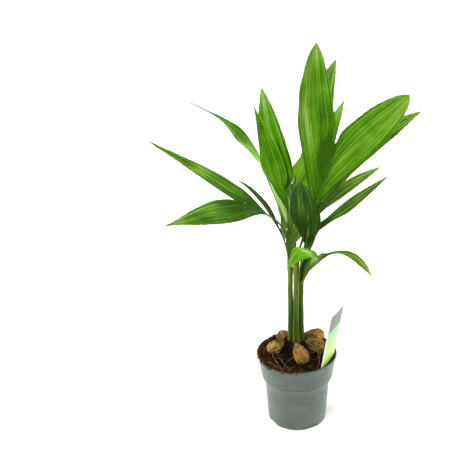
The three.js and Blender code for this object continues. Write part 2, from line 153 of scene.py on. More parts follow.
class Blade(NamedTuple):
    """One blade of a leaf. A way is a heading and a rise."""

    name: str
    # The way it leaves the midrib, the share of its reach for which it heads there, and the way to its tip
    leave: tuple
    lead: float
    tip: tuple
    # Length from root to tip, and greatest width
    reach: float
    width: float
    # The way its upper side faces
    face: tuple
    # Where along it is widest, and how fast it falls to the tip
    widest: float = 0.45
    taper: float = 0.9
    # First and last share of the midrib that it grows on, and how far out it has turned square
    root: tuple = (0, 1)
    join: float = 0.36
    # Least width
    least: float = 1.1
    # How dry its margin and tip are
    dry: float = 0.3
    # The way the tip faces, where the blade twists, and the green, where it isn't the leaf's
    face_tip: tuple = None
    tone: str = None
    # Where a side is drawn in: (share of the length, length, side, share of the width)
    trims: tuple = ()
    # Painted highlights and painted shadows, as spots: (share of the length, place across, length, breadth,
    # strength)
    painted_shading: tuple = ()


# Leaves: name, stem, spring, heel, midrib, green and blades
LEAVES = [
    Leaf("crown_front", "front", 0, (22, 4, 348), (35, 69, 106), "fresh", [
        Blade("left", (119, 73), 0.56, (137, 86), 205, 54, (-95, 12), 0.3, 0.7, join=0.42,
              painted_shading=[(0.9, 0, 0.1, 0.5, 0.9), (0.46, 0.6, 0.14, 0.16, 0.6), (0.28, 0.42, 0.14, 0.14, 0.7),
                     (0.12, -0.4, 0.12, 0.6, -0.8), (0.45, -0.3, 0.2, 0.5, -0.3)]),
        Blade("right", (45, 38), 0.2, (-3, 48), 178, 55, (-75, 28), 0.58, 0.57, join=0.6,
              trims=[(0.42, 0.16, -1, 0.08)],
              painted_shading=[(0.95, 0.2, 0.15, 0.7, 0.5), (0.75, 0.4, 0.15, 0.4, 0.3),
                     (0.45, 0.1, 0.2, 0.25, 0.4), (0.5, 0.95, 0.3, 0.08, -0.8)]),
    ]),
    Leaf("crown_back", "back", 0, (31, 38, 329), (45, 69, 95), "deep", [
        Blade("left", (110, 67), 0.65, (68, 79), 184, 30, (-110, 10), 0.45, 0.8, join=0.45,
              painted_shading=[(0.85, 0, 0.3, 3, 0.4)]),
        Blade("right", (45, 30), 0.47, (4, 39), 175, 34, (-80, 22), join=0.45, dry=0.5),
    ]),
    Leaf("middle", "back", 150, (-4, 42, 327), (106, 71, 44), "light", [
        Blade("right", (54, 36), 0.39, (37, 55), 164, 47, (-70, 10), 0.31, 0.9, join=0.3,
              trims=[(0.2, 0.15, -1, -0.22)],
              painted_shading=[(0.86, 0.1, 0.14, 0.7, 1), (0.3, -0.6, 0.2, 0.4, 0.6)]),
        Blade("back", (110, 40), 0.82, (108, 37), 142, 28, (-110, 30), tone="deep",
              painted_shading=[(0.05, 0, 0.3, 3, -0.5)]),
    ]),
    Leaf("upright", "front", 180, (-12, -2, 349), (152, 85, 32), "bright", [
        Blade("right", (135, 58), 0.29, (139, 74), 174, 45, (-70, 10), 0.43, 0.74, join=0.3,
              trims=[(0.24, 0.14, 1, 0.35)],
              painted_shading=[(0.9, 0, 0.12, 0.5, 0.7), (0.56, -0.48, 0.1, 0.07, -1.4),
                     (0.43, -0.53, 0.1, 0.06, -1.6), (0.32, -0.6, 0.09, 0.06, -1.6),
                     (0.22, -0.66, 0.08, 0.06, -1.5), (0.5, -0.74, 0.25, 0.2, 0.35),
                     (0.47, -0.95, 0.12, 0.05, -1.2), (0.6, -0.2, 0.3, 0.2, 0.3)]),
        Blade("left", (-170, 74), 0.6, (-170, 73), 169, 28, (-100, 14), 0.36, 1.6, join=0.25, dry=0.4,
              trims=[(0.35, 0.16, 1, 0.3)],
              painted_shading=[(0.6, -1, 0.4, 0.1, 1), (0.2, 0, 0.14, 2, 0.25), (0.6, 0.3, 0.3, 0.6, -0.3)]),
    ]),
    Leaf("left_arch", "back_left", -90, (-15, 31, 313), (173, 69, 91), "olive", [
        Blade("left", (-174, 76), 0.58, (-163, 54), 208, 34, (-166, 4), 0.22, 2.2, join=0.28,
              least=2.6, dry=0.4, face_tip=(-90, 60), tone="fresh",
              painted_shading=[(0.5, -0.7, 0.4, 0.25, 0.8), (0.55, 0.9, 0.3, 0.3, -0.6), (0.12, 0, 0.16, 2, 1.8),
                     (0.95, 0, 0.15, 3, -0.9)]),
        Blade("back", (80, 52), 0.52, (95, 57), 101, 32, (-30, -10), root=(0, 0.85), tone="pale",
              painted_shading=[(0.04, 0, 0.25, 3, 0.9)]),
    ]),
    Leaf("left_low", "left", 150, (-39, -20, 355), (-152, 38, 54), "deep", [
        Blade("upper", (-166, 47), 0.3, (-175, 37), 188, 25, (-90, 60), 0.3, 0.8, root=(0, 0.88),
              join=0.32, dry=0.8,
              painted_shading=[(0.2, -0.3, 0.15, 1, -0.5), (0.6, 0.1, 0.2, 0.8, 0.3)]),
        Blade("lower", (-120, 34), 0.2, (-141, 9), 165, 44, (-100, 55), 0.52, 1.4, join=0.5, dry=0.8,
              painted_shading=[(0.3, 0, 0.2, 1, -0.5), (0.95, 0, 0.15, 1, 0.3)]),
    ]),
    Leaf("left_thin", "back_left", 160, (-18, 28, 286), (140, 65, 22), "brown", [
        Blade("left", (156, 67), 0.63, (161, 49), 106, 11, (-30, 20), 0.45, 1.1, dry=0.9),
        Blade("back", (85, 39), 0.57, (93, 25), 110, 22, (-110, 50), tone="olive",
              trims=[(0.35, 0.2, -1, 0.6)]),
    ]),
    Leaf("middle_low", "left", -30, (-13, -11, 285), (-167, 84, 40), "olive", [
        Blade("right", (-8, 66), 0.58, (-1, 63), 83, 34, (-110, 30), 0.45, 0.8,
              painted_shading=[(0.4, 0, 1, 2, -0.3)]),
    ]),
    Leaf("front_dark", "right", -110, (13, -17, 298), (-85, 75, 55), "dark", [
        Blade("left", (-103, 74), 0.35, (-101, 67), 128, 39, (-95, 20), 0.51, 0.6, root=(0, 0.7),
              join=0.6,
              painted_shading=[(0.5, 0, 2, 3, -0.85), (0.85, 0.3, 0.35, 0.9, 0.5), (0.5, -0.8, 0.3, 0.3, 0.4),
                     (0.71, 0.35, 0.12, 0.2, 0.25), (0.63, 0.17, 0.12, 0.2, 0.25),
                     (0.55, 0, 0.12, 0.2, 0.25), (0.46, -0.22, 0.12, 0.2, 0.35),
                     (0.37, -0.45, 0.12, 0.2, 0.4), (0.35, 0.7, 0.2, 0.35, -0.6)]),
        Blade("right", (-26, 58), 0.5, (-72, 81), 88, 18, (-75, 20), 0.5, 0.75, root=(0, 0.4),
              join=0.45,
              painted_shading=[(0.5, 0, 2, 3, -0.4)]),
    ]),
    Leaf("right_pair", "right", 0, (27, -7, 321), (24, 81, 48), "olive", [
        Blade("upper", (5, 45), 0.47, (8, 35), 106, 18, (-90, 50), root=(0.6, 1), dry=0.5,
              painted_shading=[(0.3, 0, 0.2, 3, -0.5)]),
        Blade("lower", (-24, 43), 0.47, (-21, 44), 146, 16, (-90, 50), 0.5, 0.9, root=(0, 0.3),
              dry=0.6,
              painted_shading=[(0.5, 0, 1, 3, -0.5)]),
    ]),
    Leaf("small_low", "right", None, (10, -7, 243), (-45, 61, 59), "light", [
        Blade("front", (-112, 59), 0.68, (-119, 18), 87, 34, (-105, 55), 0.35, 1.1, root=(0.5, 1),
              join=0.3, dry=0.7, tone="fresh",
              painted_shading=[(0.5, 0, 1, 3, 0.1), (0.25, -0.5, 0.2, 0.5, 1.2), (0.1, 0, 0.15, 3, 0.6)]),
        Blade("right", (31, 30), 0.73, (0, -14), 89, 12, (-80, 54), 0.74, 1.1, root=(0.3, 1),
              join=0.25, least=4.5, dry=0.5, tone="olive"),
    ], side_height=222),
    Leaf("back_right", "right", 110, (18, 58, 298), (80, 38, 33), "fresh", [
        Blade("back", (92, 39), 0.64, (87, 34), 151, 36, (-120, 60), dry=0.4),
        Blade("right", (64, 30), 0.54, (52, 26), 135, 34, (-60, 60)),
    ]),
    Leaf("back_low", "back_left", 40, (-6, 56, 279), (84, 49, 21), "fresh", [
        Blade("left", (104, 14), 0.51, (99, 4), 124, 24, (-120, 60), dry=0.5),
        Blade("right", (64, 10), 0.5, (70, 4), 129, 28, (-60, 60)),
    ]),
]

# Leaf bases: the sheet between a leaf's stalk and what it clasps, each edge with its first and
# last share of the stalk and midrib, or its first and last height on the stem
BASES = [
    {"leaf": "small_low", "edge": (0.02, 0.97), "stem": "right", "along": (226, 284), "tone": "deep"},
    {"leaf": "front_dark", "edge": (0.1, 0.9), "other": "right_pair", "along": (0.1, 0.9), "tone": "dark"},
]

# Care tag: width, height above and below the rim, the way it stands and how it bends
TAG = {
    "width": 46, "above": 92, "below": 36, "point": 12, "taper": 13, "corner": 1.5,
    "middle": (46.7, -22.2), "heading": -25.5, "lean": 8.5,
    "bow": 0.9, "curl": 1.6, "curl_length": 125,
    # The thin edge and the print, as shares of the half width, and the print's distance from the top
    "edge": 0.985, "print": 0.955, "margin": 1.2,
}

# Long roots on the coir: start, middle and end, then the thickness at the start
ROOTS = [
    ((-37, -13, 117), (-31, -36, 119), (-19.5, -55, 113), 0.9),
    ((-29, -22, 119), (-20, -35, 116), (-12.5, -49, 112), 0.7),
    ((-45, -28, 112), (-36, -38, 116), (-22, -50, 112), 0.7),
    ((-18, -56, 113), (-9, -47, 114), (-2, -36, 111), 0.7),
    ((30, -2, 121), (33, -24, 114), (30, -47, 107), 0.7),
    ((34, -1, 120), (35, -12, 115), (31, -24, 107), 0.6),
    ((10, -6, 122), (18, -8, 120), (27, -7.5, 117), 0.7),
    ((-2, -24, 121), (-14, -34, 118), (-20, -48, 111), 0.6),
    ((44, 20, 117), (50, 6, 113), (47, -12, 107), 0.6),
    ((-38, 26, 118), (-48, 10, 114), (-50, -10, 111), 0.6),
    ((14, 44, 119), (6, 52, 114), (-12, 52, 112), 0.6),
    ((-34, 42, 117), (-44, 34, 114), (-52, 18, 113), 0.6),
]

# Camera: the photograph's eye in millimetres, and its turn in degrees
EYE = (0, -2028.6, 1395.4)
PITCH, YAW, ROLL = 27.67, -2.946, -1.369
FOCAL_PIXELS, PICTURE_PIXELS, SENSOR = 1580, 450, 36


def hex_colour(text):
    """A hex sRGB colour as linear red, green, blue and alpha."""
    srgb = np.array([int(text[i : i + 2], 16) for i in (1, 3, 5)]) / 255
    linear = np.where(srgb <= 0.04045, srgb / 12.92, ((srgb + 0.055) / 1.055) ** 2.4)
    return (*linear.tolist(), 1.0)


def colour_property(name, description, text):
    """A colour that a user can change, given as hex sRGB."""
    default = hex_colour(text)
    return FloatVectorProperty(
        name=name, description=description, subtype="COLOR", size=4, min=0, max=1, default=default
    )


def length_property(name, description, millimetres):
    """A length that a user can change, given in millimetres and kept in metres."""
    return FloatProperty(
        name=name, description=description, unit="LENGTH", precision=5, min=0, default=millimetres * MM
    )


def share_property(name, description, default):
    """A share from 0 to 1 that a user can change."""
    return FloatProperty(name=name, description=description, subtype="FACTOR", min=0, max=1, default=default)


def count_property(name, description, default):
    """A number of small things that a user can change."""
    return IntProperty(name=name, description=description, default=default, min=0)


def strength_property(name, description, default, **kind):
    """A strength of the light, or an angle, that a user can change."""
    return FloatProperty(name=name, description=description, default=default, min=0, **kind)


class PotLook(bpy.types.PropertyGroup):
    """Sizes and colours of the pot."""

    wall: length_property("Wall", "Thickness of the moulded wall", 1.5)
    lip: length_property("Lip", "Height of the rim's lip", 2.4)
    plastic: colour_property("Plastic", "Grey-green polypropylene", "#465049")
    dust: colour_property("Dust", "Dry dust that clings to the wall", "#7f897e")
    gloss: share_property("Roughness", "Roughness of the moulded wall", 0.4)


class SoilLook(bpy.types.PropertyGroup):
    """Sizes, counts and colours of the coir, crumbs and roots."""

    crumb: length_property("Crumb", "Width of a common crumb", 2.4)
    crumbs: count_property("Crumbs", "How many crumbs lie on the soil", 700)
    strands: count_property("Strands", "How many coir strands of each colour", 620)
    strand: length_property("Strand", "Thickness of a coir strand", 0.42)
    peat: colour_property("Peat", "Moist soil", "#0b0704")
    humus: colour_property("Humus", "Dark coir in the soil", "#1e120a")
    damp: colour_property("Damp coir", "Coir that the moist soil has darkened", "#30190a")
    coir: colour_property("Coir", "Brown coir", "#503010")
    pale: colour_property("Pale coir", "Dry, bleached coir", "#8d683a")
    root: colour_property("Root", "Skin of the long roots", "#a98763")


class NutLook(bpy.types.PropertyGroup):
    """Relief and colours of the husks."""

    ridge: length_property("Ridge", "Height of the ridges that run along the husk", 1)
    fibre: length_property("Fibre", "Distance between the bundles of fibre", 1.8)
    hairs: count_property("Hairs", "How many loose fibres a husk has", 170)
    straw: colour_property("Straw", "Dry pale husk", "#cfae62")
    brown: colour_property("Brown", "Weathered husk", "#6a4f20")
    tan: colour_property("Tan", "Orange husk", "#b8843a")
    # The grooves' colour: the husk's dark fibres, with painted shade in them
    dark_fibre_and_shade: colour_property("Groove", "Dark grooves between the fibres", "#251608")


class StemLook(bpy.types.PropertyGroup):
    """Relief and colours of the stems and stalks."""

    stripe: length_property("Stripe", "Distance between the veins along a sheath", 1.1)
    step: length_property("Step", "How far one sheath stands out over the next", 0.3)
    green: colour_property("Green", "Sheath in the light", "#3a5a0c")
    deep: colour_property("Deep green", "Shaded side of a sheath", "#162804")
    pale: colour_property("Pale", "Young sheath and stalk", "#86a534")
    foot: colour_property("Foot", "Brown foot of a stem", "#4b2e20")


class LeafLook(bpy.types.PropertyGroup):
    """Relief and colours of the blades."""

    rib: length_property("Rib", "Distance between ribs where a blade is widest", 6.2)
    pleat: length_property("Pleat", "Height of the pleats between the ribs", 0.5)
    thick: length_property("Thickness", "Thickness of a blade", 0.55)
    tooth: length_property("Tooth", "Depth of the teeth near a blade's tip", 0.9)
    fresh: colour_property("Fresh", "Leaf in full light", "#528c0e")
    bright: colour_property("Bright", "Young vivid leaf", "#509204")
    light: colour_property("Light", "Young yellow-green leaf", "#74a523")
    deep: colour_property("Deep", "Older leaf", "#46761f")
    olive: colour_property("Olive", "Dull old leaf", "#587c26")
    dark: colour_property("Dark", "Shaded old leaf", "#345f0f")
    brown: colour_property("Brown", "Withering leaf", "#3a3f1c")
    pale: colour_property("Pale", "Grey-green underside", "#94ae66")
    # Lit, Bloom and Shade are painted light, a painted pale sheen and painted shade, laid over a blade's
    # green by how light its tissue is
    line: colour_property("Lit", "Yellow-green tissue between dark streaks", "#94bd3c")
    painted_sheen: colour_property("Bloom", "Pale waxy bloom", "#c9dba6")
    shade: colour_property("Shade", "Dark green near the midrib", "#112b03")
    dry: colour_property("Dry", "Dried margin and tip", "#6f5c4a")


class TagLook(bpy.types.PropertyGroup):
    """Sizes and colours of the care tag."""

    thick: length_property("Thickness", "Thickness of the card", 0.9)
    band: share_property("Band", "Share of the face that the grey band takes", 0.34)
    grey: colour_property("Band colour", "Grey band at the top", "#5c5d58")
    mint: colour_property("Mint", "Printed ground under the band", "#6fa37c")
    lime: colour_property("Lime", "Printed ground at the foot", "#9cb35c")
    edge: colour_property("Edge", "White card", "#c9cdbf")


class StageLook(bpy.types.PropertyGroup):
    """Floor and lights."""

    floor: colour_property("Floor", "Pale paper floor", "#fafaf8")
    sky: strength_property("Surround", "Brightness of the studio's white walls", 0.38)
    key: strength_property("Key", "Strength of the high soft lamp", 2.2)
    spread: strength_property("Key spread", "How wide the high lamp looks", np.radians(28), subtype="ANGLE")
    fill: strength_property("Fill", "Power of each side lamp", 28, subtype="POWER")


LOOKS = {
    "palm_pot": PotLook,
    "palm_soil": SoilLook,
    "palm_nuts": NutLook,
    "palm_stems": StemLook,
    "palm_leaves": LeafLook,
    "palm_tag": TagLook,
    "palm_stage": StageLook,
}


def aim(turn):
    """Unit vector of a heading and a rise in degrees."""
    h, r = np.radians(turn)
    return np.array([np.cos(r) * np.cos(h), np.cos(r) * np.sin(h), np.sin(r)])


def unit(v):
    """Vectors divided by their own lengths."""
    return v / np.linalg.norm(v, axis=-1, keepdims=True)


def ease(t):
    """0 to 1 with level ends: 3t² - 2t³."""
    s = np.clip(t, 0, 1)
    return s * s * (3 - 2 * s)


def bumps(points, size, seed, waves=20):
    """Smooth bumps between about -1 and 1: a sum of sine waves, about `size` long, in seeded directions."""
    rng = np.random.default_rng(seed)
    ways = unit(rng.normal(size=(waves, 3))) * rng.uniform(0.7, 1.7, (waves, 1)) * 2 * np.pi / size
    return np.sin(points @ ways.T + rng.uniform(0, 2 * np.pi, waves)).sum(-1) / np.sqrt(waves)


def zigzag(q):
    """A triangle wave with ridges of 1 at whole numbers and valleys of -1 half way between."""
    return 4 * np.abs(q - np.floor(q) - 0.5) - 1


def skin(rings):
    """Closed skins over rings of points, shaped (skins, rows, sides, 3).

    Neighbouring points of neighbouring rings make a quad. An end ring is filled by
    strips from its first half of points to its second, so sides is even. The faces are
    turned outwards by the sign of the volume that they close in.
    """
    count, rows, sides, _ = rings.shape
    row = np.arange(rows - 1)[:, None] * sides
    side = np.arange(sides)[None, :]
    ahead = (side + 1) % sides
    walls = np.stack([row + side, row + ahead, row + ahead + sides, row + side + sides], -1).reshape(-1, 4)
    j = np.arange(sides // 2 - 1)
    k = sides - 1 - j
    foot = np.stack([j, k, k - 1, j + 1], -1)
    last = (rows - 1) * sides
    head = np.stack([last + j, last + j + 1, last + k - 1, last + k], -1)
    faces = np.concatenate([walls, foot, head])
    a, b, c, d = (rings[0].reshape(-1, 3)[faces[:, i]] for i in range(4))
    volume = (a * (np.cross(b, c) + np.cross(c, d))).sum()
    if volume < 0:
        faces = faces[:, ::-1]
    faces = faces[None] + (np.arange(count) * rows * sides)[:, None, None]
    return rings.reshape(-1, 3), faces.reshape(-1, 4)


def carry(path, across, radius, sides=12, shape=None):
    """Round rings carried along paths shaped (..., rows, 3).

    Each ring is the path's point plus radius times (side cos t + lift sin t), where
    side is square to the path and to `across`, and shape(t) may scale the radius.
    """
    along = unit(np.gradient(path, axis=-2))
    side = unit(np.cross(across, along))
    lift = np.cross(along, side)
    t = full_turn(sides)
    swell = radius[..., None] * (1 if shape is None else shape(t))
    ring = side[..., None, :] * np.cos(t)[:, None] + lift[..., None, :] * np.sin(t)[:, None]
    return path[..., None, :] + swell[..., None] * ring


def full_turn(sides):
    """Angles all round, in equal steps from 0."""
    return np.arange(sides) * 2 * np.pi / sides


def grid(*parts):
    """Points or numbers whose parts are spread over one grid."""
    return np.stack(np.broadcast_arrays(*parts), -1)


def raised(flat, z):
    """Points (x, y, z) over places (x, y)."""
    return grid(flat[..., 0], flat[..., 1], z)


def both_sides(face, back):
    """Rows of a sheet's face, followed by those of its back in the other direction."""
    return np.concatenate([face, back[:, ::-1]], 1)


def round_way(turn, radius):
    """Length round a bar at turns from 0 to 2 pi, the same on both sides, so that a pattern meets itself."""
    return np.minimum(turn, 2 * np.pi - turn) * radius


def curve(s, start, lead, end):
    """Points of a quadratic curve: (1 - s)² start + 2 s (1 - s) lead + s² end."""
    w = 1 - s
    return w * w * start + 2 * s * w * lead + s * s * end


def turned(profile, turns):
    """A profile of heights and radii carried round Z: (r cos t, r sin t, z) for every turn t."""
    z, r = np.array(profile, float).T[..., None]
    return grid(r * np.cos(turns), r * np.sin(turns), z)


def make_piece(name, mesh_parts, material, slot, nodes=(), **attributes):
    """A smooth mesh object from points in millimetres, riding on the one body.

    attributes are per-point numbers or vectors that the material reads.
    """
    points, faces = mesh_parts
    mesh = bpy.data.meshes.new(name)
    mesh.from_pydata((points * MM).tolist(), [], faces.tolist())
    mesh.polygons.foreach_set("use_smooth", np.ones(len(faces), bool))
    for key, values in attributes.items():
        vector = values.ndim > 1
        layer = mesh.attributes.new(key, "FLOAT_VECTOR" if vector else "FLOAT", "POINT")
        layer.data.foreach_set("vector" if vector else "value", values.astype(np.float32).ravel())
    mesh.materials.append(material)
    mesh.validate()
    piece = bpy.data.objects.new(name, mesh)
    bpy.context.scene.collection.objects.link(piece)
    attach(piece, "root")
    if nodes:
        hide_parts(*nodes)
    return piece


def new_material(name):
    """A material with its Principled surface: (material, node tree, surface node)."""
    material = bpy.data.materials.new(name)
    material.use_nodes = True
    tree = material.node_tree
    return material, tree, tree.nodes["Principled BSDF"]


def connect(node, inputs):
    """Fills a node's inputs: a socket is linked, and any other value is set."""
    for key, value in inputs.items():
        if isinstance(value, bpy.types.NodeSocket):
            node.id_data.links.new(value, node.inputs[key])
        else:
            node.inputs[key].default_value = value


def add_node(tree, kind, inputs, output=0, **settings):
    """Adds a shader node with its inputs and settings, and gives back one of its outputs."""
    node = tree.nodes.new(f"ShaderNode{kind}")
    for key, value in settings.items():
        setattr(node, key, value)
    connect(node, inputs)
    return node.outputs[output]


# Sockets of a colour Mix node, which have the same names for numbers and for colours
FACTOR, FIRST, SECOND, MIXED = 0, 6, 7, 2
MIX = {"data_type": "RGBA"}
# Every output of a Separate XYZ node
ALL_THREE = slice(0, 3)


def moulded_polypropylene(look):
    """Injection-moulded polypropylene: satin, with a fine grain, faint clouds and dry dust."""
    material, tree, surface = new_material("polypropylene_moulded")
    place = add_node(tree, "TexCoord", {}, "Object")
    # Clouds 25 mm wide, where the plastic cooled unevenly and dust dried
    clouds = add_node(tree, "TexNoise", {"Vector": place, "Scale": 40, "Detail": 4, "Roughness": 0.6})
    amount = add_node(tree, "MapRange", {"Value": clouds, "From Min": 0.45, "From Max": 0.8, "To Max": 0.22})
    colour = add_node(tree, "Mix", {FACTOR: amount, FIRST: look.plastic, SECOND: look.dust}, MIXED, **MIX)
    # Streaks 2 mm wide that run up the wall, as water leaves them
    stretched = add_node(tree, "Mapping", {"Vector": place, "Scale": (1, 1, 0.06)})
    streaks = add_node(tree, "TexNoise", {"Vector": stretched, "Scale": 420, "Detail": 2})
    satin = {"To Min": look.gloss - 0.06, "To Max": look.gloss + 0.14}
    matt = add_node(tree, "MapRange", {"Value": streaks, **satin})
    # Spark grain of the mould, drawn 0.5 mm wide so that it shows
    grain = add_node(tree, "TexNoise", {"Vector": place, "Scale": 1900, "Detail": 1})
    relief = add_node(tree, "Bump", {"Height": grain, "Strength": 0.12, "Distance": 0.2 * MM})
    connect(surface, {"Base Color": colour, "Roughness": matt, "Normal": relief, "IOR": 1.49})
    return material


def loose_matter(name, dark, light, size, roughness=0.9):
    """Coir, peat and root: dull, in two tones, in blotches `size` mm wide, with a fine rough relief."""
    material, tree, surface = new_material(name)
    place = add_node(tree, "TexCoord", {}, "Object")
    blotches = add_node(
        tree, "TexNoise", {"Vector": place, "Scale": 1 / (size * MM), "Detail": 5, "Roughness": 0.65}
    )
    amount = add_node(tree, "MapRange", {"Value": blotches, "From Min": 0.35, "From Max": 0.7})
    colour = add_node(tree, "Mix", {FACTOR: amount, FIRST: dark, SECOND: light}, MIXED, **MIX)
    relief = add_node(tree, "Bump", {"Height": blotches, "Strength": 0.6, "Distance": 0.8 * MM})
    connect(surface, {"Base Color": colour, "Normal": relief})
    connect(surface, {"Roughness": roughness, "Specular IOR Level": 0.1})
    return material


def husk_fibre(name, look, tone):
    """Betel nut husk: dull dry fibres along the nut, dark in the grooves, with painted shade there over the
    husk's dark fibres, and bleached in patches.
    """
    material, tree, surface = new_material(name)
    place = add_node(tree, "TexCoord", {}, "Object")
    laid = add_node(tree, "Attribute", {}, "Vector", attribute_name="husk_place")
    age = add_node(tree, "Attribute", {}, "Fac", attribute_name="husk_age")
    # Along the nut the noise is ten times as long as the fibres are wide. A fibre is 0.3 mm
    # thick; they are drawn in bundles, so that they show
    stretched = add_node(tree, "Mapping", {"Vector": laid, "Scale": (0.1, 1, 1)})
    fibres = add_node(
        tree, "TexNoise", {"Vector": stretched, "Scale": MM / look.fibre, "Detail": 4, "Roughness": 0.7}
    )
    patches = add_node(tree, "TexNoise", {"Vector": place, "Scale": 110, "Detail": 3})
    # The grooves darken where the fibres' relief is low: painted shade, over the husk's own dark fibres
    dark_fibre_and_shade = add_node(tree, "MapRange", {"Value": fibres, "From Min": 0.58, "From Max": 0.42, "To Max": 0.92})
    bleach = add_node(tree, "MapRange", {"Value": patches, "From Min": 0.48, "From Max": 0.7, "To Max": 0.75})
    colour = tone
    for share, over in ((age, look.brown), (bleach, look.straw), (dark_fibre_and_shade, look.dark_fibre_and_shade)):
        colour = add_node(tree, "Mix", {FACTOR: share, FIRST: colour, SECOND: over}, MIXED, **MIX)
    relief = add_node(tree, "Bump", {"Height": fibres, "Strength": 0.8, "Distance": 0.7 * MM})
    connect(surface, {"Base Color": colour, "Normal": relief, "Roughness": 0.72, "Specular IOR Level": 0.15})
    return material


def sheath_skin(name, look, pale):
    """Living sheath or stalk: smooth waxy green with fine veins along it, paler where it is young.

    The skin's own numbers are stem_place, (mm along, mm round, share of brown).
    """
    material, tree, surface = new_material(name)
    laid = add_node(tree, "Attribute", {}, "Vector", attribute_name="stem_place")
    up, _, brown = add_node(tree, "SeparateXYZ", {"Vector": laid}, ALL_THREE)
    # Veins: noise laid along the stem, as wide as the stripe and thirty times as long
    stretched = add_node(tree, "Mapping", {"Vector": laid, "Scale": (0.03, 1, 0)})
    veins = add_node(
        tree, "TexNoise", {"Vector": stretched, "Scale": MM / look.stripe, "Detail": 3, "Roughness": 0.6}
    )
    vein = add_node(tree, "MapRange", {"Value": veins, "From Min": 0.35, "From Max": 0.65})
    # Paler streaks, 3 mm wide and a hand long
    long = add_node(tree, "Mapping", {"Vector": laid, "Scale": (0.012, 0.33, 0)})
    patches = add_node(tree, "TexNoise", {"Vector": long, "Scale": 1, "Detail": 3})
    young = add_node(tree, "MapRange", {"Value": patches, "From Min": 0.4, "From Max": 0.7, "To Max": pale})
    # High up, under the crown, the skin is young and yellow-green
    high = add_node(tree, "MapRange", {"Value": up, "From Min": 180, "From Max": 250, "To Max": 0.35})
    colour = look.deep
    for share, over in ((vein, look.green), (young, look.pale), (high, look.pale), (brown, look.foot)):
        colour = add_node(tree, "Mix", {FACTOR: share, FIRST: colour, SECOND: over}, MIXED, **MIX)
    relief = add_node(tree, "Bump", {"Height": veins, "Strength": 0.35, "Distance": 0.3 * MM})
    connect(surface, {"Base Color": colour, "Normal": relief, "Roughness": 0.42, "Specular IOR Level": 0.1})
    return material


def leaf_tissue(name, look, tone):
    """Living palm leaf: green above, with streaks of painted shade, painted light and a painted sheen, paler
    below, veined, with dry tips.

    The blade's own numbers are leaf_place, (share of the length, rib number, how dry),
    leaf_painted_shading, the painted light and shade there, above 0 for painted light and below 0 for painted
    shade, and leaf_under, 1 on the underside and 0 above.
    """
    material, tree, surface = new_material(name)
    place = add_node(tree, "TexCoord", {}, "Object")
    laid = add_node(tree, "Attribute", {}, "Vector", attribute_name="leaf_place")
    painted_shading = add_node(tree, "Attribute", {}, "Fac", attribute_name="leaf_painted_shading")
    under = add_node(tree, "Attribute", {}, "Fac", attribute_name="leaf_under")
    _, rib, dryness = add_node(tree, "SeparateXYZ", {"Vector": laid}, ALL_THREE)
    # Broad patches, 35 mm wide, of painted light and shade
    patches = add_node(tree, "TexNoise", {"Vector": place, "Scale": 28, "Detail": 2})
    # Streaks three to a rib and half of the blade long, with finer ones inside them: partly the leaf's own
    # streaks, partly painted sheen and shade along the pleats
    streaked = add_node(tree, "Mapping", {"Vector": laid, "Scale": (1.8, 3, 0)})
    streaks = add_node(tree, "TexNoise", {"Vector": streaked, "Scale": 1, "Detail": 5, "Roughness": 0.72})
    # The streaks with 1.7 times their contrast
    sharp = add_node(tree, "MapRange", {"Value": streaks, "To Min": -0.35, "To Max": 1.35})
    # How light the tissue is, which paints light and shade: about 0.6 in the plain green, higher in streaks
    # and on ridges, lower in the pleats' valleys, plus the blade's painted highlights and shadows
    from_rib = add_node(tree, "Math", {0: rib, 1: 0.5}, operation="PINGPONG")
    ridged = add_node(tree, "Math", {0: from_rib, 1: -0.18, 2: sharp}, operation="MULTIPLY_ADD")
    patched = add_node(tree, "Math", {0: patches, 1: 0.4, 2: ridged}, operation="MULTIPLY_ADD")
    light = add_node(tree, "Math", {0: painted_shading, 1: 0.3, 2: patched}, operation="MULTIPLY_ADD")
    # Painted shade, painted light and a painted sheen: the lightness at which each starts and is full, and
    # how full it is
    layers = ((0.64, 0.46, 0.62, look.shade), (0.66, 0.88, 0.6, look.line), (0.86, 1.08, 0.6, look.painted_sheen))
    colour = tone
    for start, full, most, over in layers:
        span = {"From Min": start, "From Max": full, "To Max": most}
        share = add_node(tree, "MapRange", {"Value": light, **span})
        colour = add_node(tree, "Mix", {FACTOR: share, FIRST: colour, SECOND: over}, MIXED, **MIX)
    # The underside is the same tissue seen through a pale skin
    pale = add_node(tree, "Math", {0: under, 1: 0.45}, operation="MULTIPLY")
    # Dry tissue, eaten into by the streaks
    wander = add_node(tree, "Math", {0: streaks, 1: 0.5, 2: dryness}, operation="MULTIPLY_ADD")
    dry = add_node(tree, "MapRange", {"Value": wander, "From Min": 0.6, "From Max": 1.1, "To Max": 0.85})
    for share, over in ((pale, look.pale), (dry, look.dry)):
        colour = add_node(tree, "Mix", {FACTOR: share, FIRST: colour, SECOND: over}, MIXED, **MIX)
    # Fine veins, five between two ribs
    vein_number = add_node(tree, "Math", {0: rib, 1: 5}, operation="MULTIPLY")
    vein = add_node(tree, "Math", {0: vein_number, 1: 0.5}, operation="PINGPONG")
    relief = add_node(tree, "Bump", {"Height": vein, "Strength": 0.3, "Distance": 0.3 * MM})
    connect(surface, {"Base Color": colour, "Normal": relief})
    connect(surface, {"Roughness": 0.36, "IOR": 1.45, "Specular IOR Level": 0.05})
    return material


